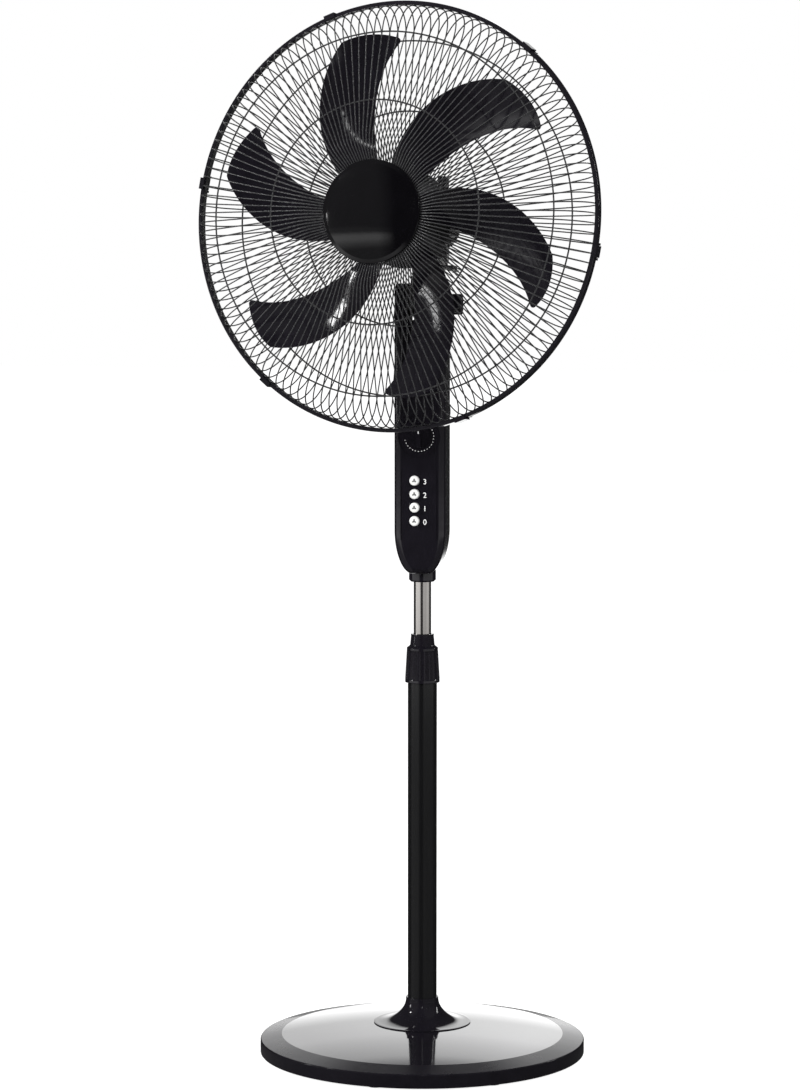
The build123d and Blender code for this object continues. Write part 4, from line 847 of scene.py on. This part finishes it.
class FAN_OT_guards(bpy.types.Operator):
    """Wind the front and rear guards"""

    bl_idname = "fan.guards"
    bl_label = "Guards"

    def execute(self, context):
        own = settings()
        wire = own.wire_radius
        rim_inner = 253.5 * MM
        slope_degrees, crest_run = 17, 136 * MM
        slope = radians(slope_degrees)
        shoulder = Vector((222 * MM, 45 * MM))
        crest = Vector((86 * MM, 45 * MM + crest_run * tan(slope)))
        hub = Vector((58 * MM, 74 * MM))
        start = hub + (crest - hub).normalized() * 1.5 * MM
        bend = (rim_inner - shoulder.x) / (1 - sin(slope))
        centre = (rim_inner - bend, shoulder.y - bend * cos(slope))
        path = rounded([tuple(start), (*crest, 25 * MM), tuple(shoulder)], 6)
        path = path[:-1] + arc(centre, bend, 90 - slope_degrees, 0, 12) + [(rim_inner, 0.6 * MM)]
        fronts = wire_ring("front_wires", path, own.wire_count, wire, "guard_wire", HEAD)
        stands_for(fronts, "front_guard")
        ring, edge, drop = 1.0 * MM, 1.8 * MM, 1.77 * MM
        edge_radius, edge_depth = 256.05 * MM, 2 * MM
        front_edge = self.hoop("front_edge_ring", edge_radius, edge_depth, edge)
        stands_for(front_edge, "front_guard_rings")
        joins(self.hoop("hub_ring", hub.x, hub.y, 1.6 * MM), "front_guard_rings")
        for name, radius in (("front_inner_ring", 134 * MM), ("front_outer_ring", 218 * MM)):
            depth = shoulder.y + (shoulder.x - radius) * tan(slope) - drop * cos(slope)
            joins(self.hoop(name, radius - drop * sin(slope), depth, ring), "front_guard_rings")

        depth, curve = -29 * MM, 26 * MM
        path = [(50 * MM, depth), (rim_inner - curve, depth)]
        path += arc((rim_inner - curve, depth + curve), curve, -90, 0, 9)[1:]
        path += [(rim_inner, -0.6 * MM)]
        rears = wire_ring("rear_wires", path, own.wire_count, wire, "guard_wire", HEAD)
        stands_for(rears, "rear_guard")
        rear_edge = self.hoop("rear_edge_ring", edge_radius, -edge_depth, edge)
        stands_for(rear_edge, "rear_guard_rings")
        for name, radius in (("rear_inner_ring", 130 * MM), ("rear_outer_ring", 215 * MM)):
            joins(self.hoop(name, radius, depth + drop, ring), "rear_guard_rings")
        bore, plate_edge, corner = 16.4 * MM, 60 * MM, 0.3 * MM
        plate_front = depth - 0.77 * MM
        plate_back = plate_front - 1.2 * MM
        plate = turned("rear_plate", [
            (bore, plate_front, corner), (plate_edge, plate_front, corner),
            (plate_edge, plate_back, corner), (bore, plate_back, corner)],
            "guard_wire", HEAD, 128)
        joins(plate, "rear_guard")
        return {"FINISHED"}

    def hoop(self, name, radius, depth, size):
        """A ring of round wire about the head's axis."""
        section = arc((radius, depth), size, 0, 360, 12)[:-1]
        return turned(name, section, "guard_wire", HEAD, 240)


class FAN_OT_rim(bpy.types.Operator):
    """Make the rim channel with its clip lugs, and the centre cap"""

    bl_idname = "fan.rim"
    bl_label = "Rim and cap"

    def execute(self, context):
        outer, wall = 259.5 * MM, 1.6 * MM
        side, inner_side, lip = 5.45 * MM, 3.85 * MM, 254.67 * MM
        outline = [
            (lip, -side, 0.4 * MM), (outer, -side, 1.4 * MM), (outer, side, 1.4 * MM),
            (lip, side, 0.4 * MM), (lip, inner_side, 0.4 * MM), (outer - wall, inner_side),
            (outer - wall, -inner_side), (lip, -inner_side, 0.4 * MM)]
        rim = turned("rim_channel", outline, "gloss_black", HEAD, 360)
        stands_for(rim, "guard_rim")
        self.lugs(outer, inner_side)
        self.cap()
        return {"FINISHED"}

    def lugs(self, outer, inner_side):
        """Pairs of lugs that hold the clip pins."""
        pin_radius, half_width, back = outer - 2.2 * MM, 2.4 * MM, -10.45 * MM
        thickness, spread = 3 * MM, 8.9 * MM
        clips, first_clip = 6, radians(50)
        near, far, corner = pin_radius - half_width, pin_radius + half_width, 1.2 * MM
        lug = plate_mesh("clip_lug", rounded([
            (near, -inner_side), (far, -inner_side),
            (far, back, corner), (near, back, corner)]), thickness)
        pair = bmesh.new()
        for offset in (-1, 1):
            half = lug.copy()
            half.transform(Matrix.Translation((0, offset * spread, 0)) @ FACING)
            pair.from_mesh(half)
        both = bpy.data.meshes.new("clip_lugs")
        pair.to_mesh(both)
        pair.free()
        lugs = copies_round("clip_lugs", both, clips, "gloss_black", HEAD, first_clip)
        joins(lugs, "guard_rim")

    def cap(self):
        """The domed cap. Its round of wall behind fits inside the hub ring."""
        apex, rim_z, radius, edge = 91 * MM, 80.5 * MM, 62 * MM, 57 * MM
        ball = (edge ** 2 + (apex - rim_z) ** 2) / (2 * (apex - rim_z))
        limit = atan2(edge, ball - (apex - rim_z))
        brim_front, brim_back = 79.2 * MM, 76.8 * MM
        wall_outer, wall_inner, wall_end = 56.35 * MM, 54.35 * MM, 72.4 * MM
        hollow_edge, hollow_top = 78 * MM, 88 * MM
        dome = [(ball * sin(limit * n / 40), apex - ball * (1 - cos(limit * n / 40)))
                for n in range(40)]
        outline = dome + [
            (edge, rim_z, 2 * MM), (radius, brim_front, 1 * MM), (radius, brim_back, 0.5 * MM),
            (wall_outer, brim_back), (wall_outer, wall_end, 0.4 * MM),
            (wall_inner, wall_end, 0.4 * MM), (wall_inner, hollow_edge), (0, hollow_top)]
        # The dome takes the darker copy of the black, which paints shade on the cap.
        stands_for(turned("cap_dome", outline, "cap_shaded_black", HEAD, 256), "centre_cap")


class FAN_OT_stage(bpy.types.Operator):
    """Set the floor, the lights, the backdrop and the camera"""

    bl_idname = "fan.stage"
    bl_label = "Stage"
    bearing = radians(8.5)

    def execute(self, context):
        self.floor()
        self.backdrop()
        self.softbox("left_softbox", (-2.6, -1.6, 2.2), (0, 0, 0.9), (1.2, 1.6), 95, False)
        self.softbox("front_softbox", (1.4, -3.4, 2.6), (0, 0, 0.8), (1.6, 1.6), 110, False)
        self.softbox("crown_softbox", (-2.46, -0.46, 2.68), (0, 0, 1.05), (0.3, 0.3), 7, True)
        self.softbox("side_softbox", (-2.9, -0.6, 0.95), (0, 0, 1.05), (0.25, 0.7), 5, True)
        self.softbox("front_strip", (0.56, -3.86, 2.29), (0, 0, 1.05), (0.1, 0.8), 1.6, True)
        self.softbox("right_strip", (2.2, 1.1, 1.5), (0, 0, 0.9), (0.12, 1.2), 7, True)
        self.camera()
        context.scene.view_settings.view_transform = "Standard"
        return {"FINISHED"}

    def reflected(self, recipe, direction, strip):
        """How bright a glossy surface sees a direction: a panel behind, a strip at each side."""
        split = recipe.tree.nodes.new("ShaderNodeSeparateXYZ")
        feed(recipe.tree, split.inputs[0], direction)
        x, y, height = (Signal(recipe.tree, socket) for socket in split.outputs)
        across = x * cos(self.bearing) + y * sin(self.bearing)
        ahead = y * cos(self.bearing) - x * sin(self.bearing)
        panel = recipe.ramp(height, (0.05, 0.8), (0.2, 0.6), (0.35, 0.8), (0.5, 0.7), (0.59, 0.0))
        level = (1 - height * height) ** 0.5
        behind = recipe.ramp(ahead / level, (0.973, 0.0), (0.99, 1.0)) * panel
        tone = recipe.ramp(across * 4 + 0.5, (0.1, 0.7), (0.9, 1.0))
        sides = recipe.ramp(ahead * 0.5 + 0.5, (0.50, 1.0), (0.62, 0.0)) * strip
        left = recipe.ramp(0 - across, (0.34, 0.0), (0.56, 1.0))
        right = recipe.ramp(across, (0.04, 0.0), (0.2, 1.0))
        panel_glow, left_glow, right_glow, haze = 2.4, 0.85, 0.55, 0.025
        return behind * tone * panel_glow + sides * (left * left_glow + right * right_glow) + haze

    def floor(self):
        """A pale floor that stays white where nothing shades it."""
        mesh = bpy.data.meshes.new("studio_floor")
        half, glow_seen, matt_grey = 14, 0.9, (0.45, 0.45, 0.45)
        mesh.from_pydata([(-half, -half, 0), (half, -half, 0), (half, half, 0), (-half, half, 0)],
                         [], [(0, 1, 2, 3)])
        owner = bpy.data.materials.new("pale_floor")
        recipe = Recipe(owner)
        seen = recipe.node("ShaderNodeLightPath", out="Is Camera Ray")
        mirrored = recipe.node("ShaderNodeLightPath", out="Is Glossy Ray")
        direction = recipe.node(
            "ShaderNodeVectorMath", {"operation": "NORMALIZE"}, {0: recipe.place()})
        reach = recipe.node(
            "ShaderNodeVectorMath", {"operation": "LENGTH"}, {0: recipe.place()}, out="Value")
        strip = recipe.ramp(reach / half, (0.2, 0.16), (0.33, 1.0), (0.42, 1.0), (0.6, 0.2))
        glow = recipe.node("ShaderNodeEmission", sockets={
            "Color": (1, 1, 1),
            "Strength": seen * glow_seen + mirrored * self.reflected(recipe, direction, strip)})
        matt = recipe.node("ShaderNodeBsdfDiffuse", sockets={"Color": matt_grey})
        plain = recipe.tree.nodes.new("ShaderNodeMixShader")
        feed(recipe.tree, plain.inputs[0], mirrored)
        recipe.tree.links.new(matt.socket, plain.inputs[1])
        both = recipe.tree.nodes.new("ShaderNodeAddShader")
        recipe.tree.links.new(glow.socket, both.inputs[0])
        recipe.tree.links.new(plain.outputs[0], both.inputs[1])
        recipe.surface(Signal(recipe.tree, both.outputs[0]))
        mesh.materials.append(owner)
        floor = bpy.data.objects.new("studio_floor", mesh)
        bpy.context.scene.collection.objects.link(floor)

    def backdrop(self):
        """White to look at, and a soft even light on what is matt."""
        world = bpy.data.worlds.new("studio")
        bpy.context.scene.world = world
        recipe = Recipe(world)
        seen = recipe.node("ShaderNodeLightPath", out="Is Camera Ray")
        mirrored = recipe.node("ShaderNodeLightPath", out="Is Glossy Ray")
        direction = recipe.node("ShaderNodeTexCoord", out="Generated")
        soft, strip = 0.5, 0.12
        strength = (seen + mirrored * self.reflected(recipe, direction, strip)
                    + (1 - seen) * (1 - mirrored) * soft)
        glow = recipe.node("ShaderNodeBackground", sockets={
            "Color": (1, 1, 1), "Strength": strength})
        recipe.surface(glow, "ShaderNodeOutputWorld")

    def softbox(self, name, place, target, size, power, mirrored):
        """A lamp with an even face, aimed at a point, that reflections show or leave out."""
        lamp = bpy.data.lights.new(name, "AREA")
        lamp.shape = "RECTANGLE"
        lamp.size, lamp.size_y = size
        lamp.energy = power
        box = bpy.data.objects.new(name, lamp)
        box.location = place
        box.visible_glossy = mirrored
        aim = Vector(target) - Vector(place)
        box.rotation_euler = aim.to_track_quat("-Z", "Y").to_euler()
        bpy.context.scene.collection.objects.link(box)

    def camera(self):
        """A long lens, a little to the right of the front and 0.1 m above the guard's middle."""
        distance, height, pitch, aside = 4.793, 1.137, radians(6.0), -0.0276
        sensor_width, focal_length = 36, 129.4
        lens = bpy.data.cameras.new("camera")
        lens.sensor_width = sensor_width
        lens.lens = focal_length
        eye = bpy.data.objects.new("camera", lens)
        eye.location = (distance * sin(self.bearing) + aside * cos(self.bearing),
                        -distance * cos(self.bearing) + aside * sin(self.bearing), height)
        eye.rotation_euler = (pi / 2 - pitch, 0, self.bearing)
        bpy.context.scene.collection.objects.link(eye)
        bpy.context.scene.camera = eye


class FAN_PT_sidebar(bpy.types.Panel):
    """Lists the fan's settings and its steps"""

    bl_label = "Fan"
    bl_idname = "FAN_PT_sidebar"
    bl_space_type = "VIEW_3D"
    bl_region_type = "UI"
    bl_category = "Fan"

    def draw(self, context):
        for name in FAN_PG_finish.__annotations__:
            self.layout.prop(context.scene.fan_finish, name)
        for step in STEPS:
            self.layout.operator(step.bl_idname)


STEPS = (FAN_OT_stage, FAN_OT_paints, FAN_OT_base, FAN_OT_pole, FAN_OT_panel, FAN_OT_motor,
         FAN_OT_guards, FAN_OT_rim)
CLASSES = (FAN_PG_finish, *STEPS, FAN_PT_sidebar)


def register():
    for kind in CLASSES:
        bpy.utils.register_class(kind)
    bpy.types.Scene.fan_finish = PointerProperty(type=FAN_PG_finish)


def unregister():
    del bpy.types.Scene.fan_finish
    for kind in reversed(CLASSES):
        bpy.utils.unregister_class(kind)


def main():
    """Take every step."""
    register()
    for step in STEPS:
        group, name = step.bl_idname.split(".")
        getattr(getattr(bpy.ops, group), name)()


if __name__ == "__main__":
    main()
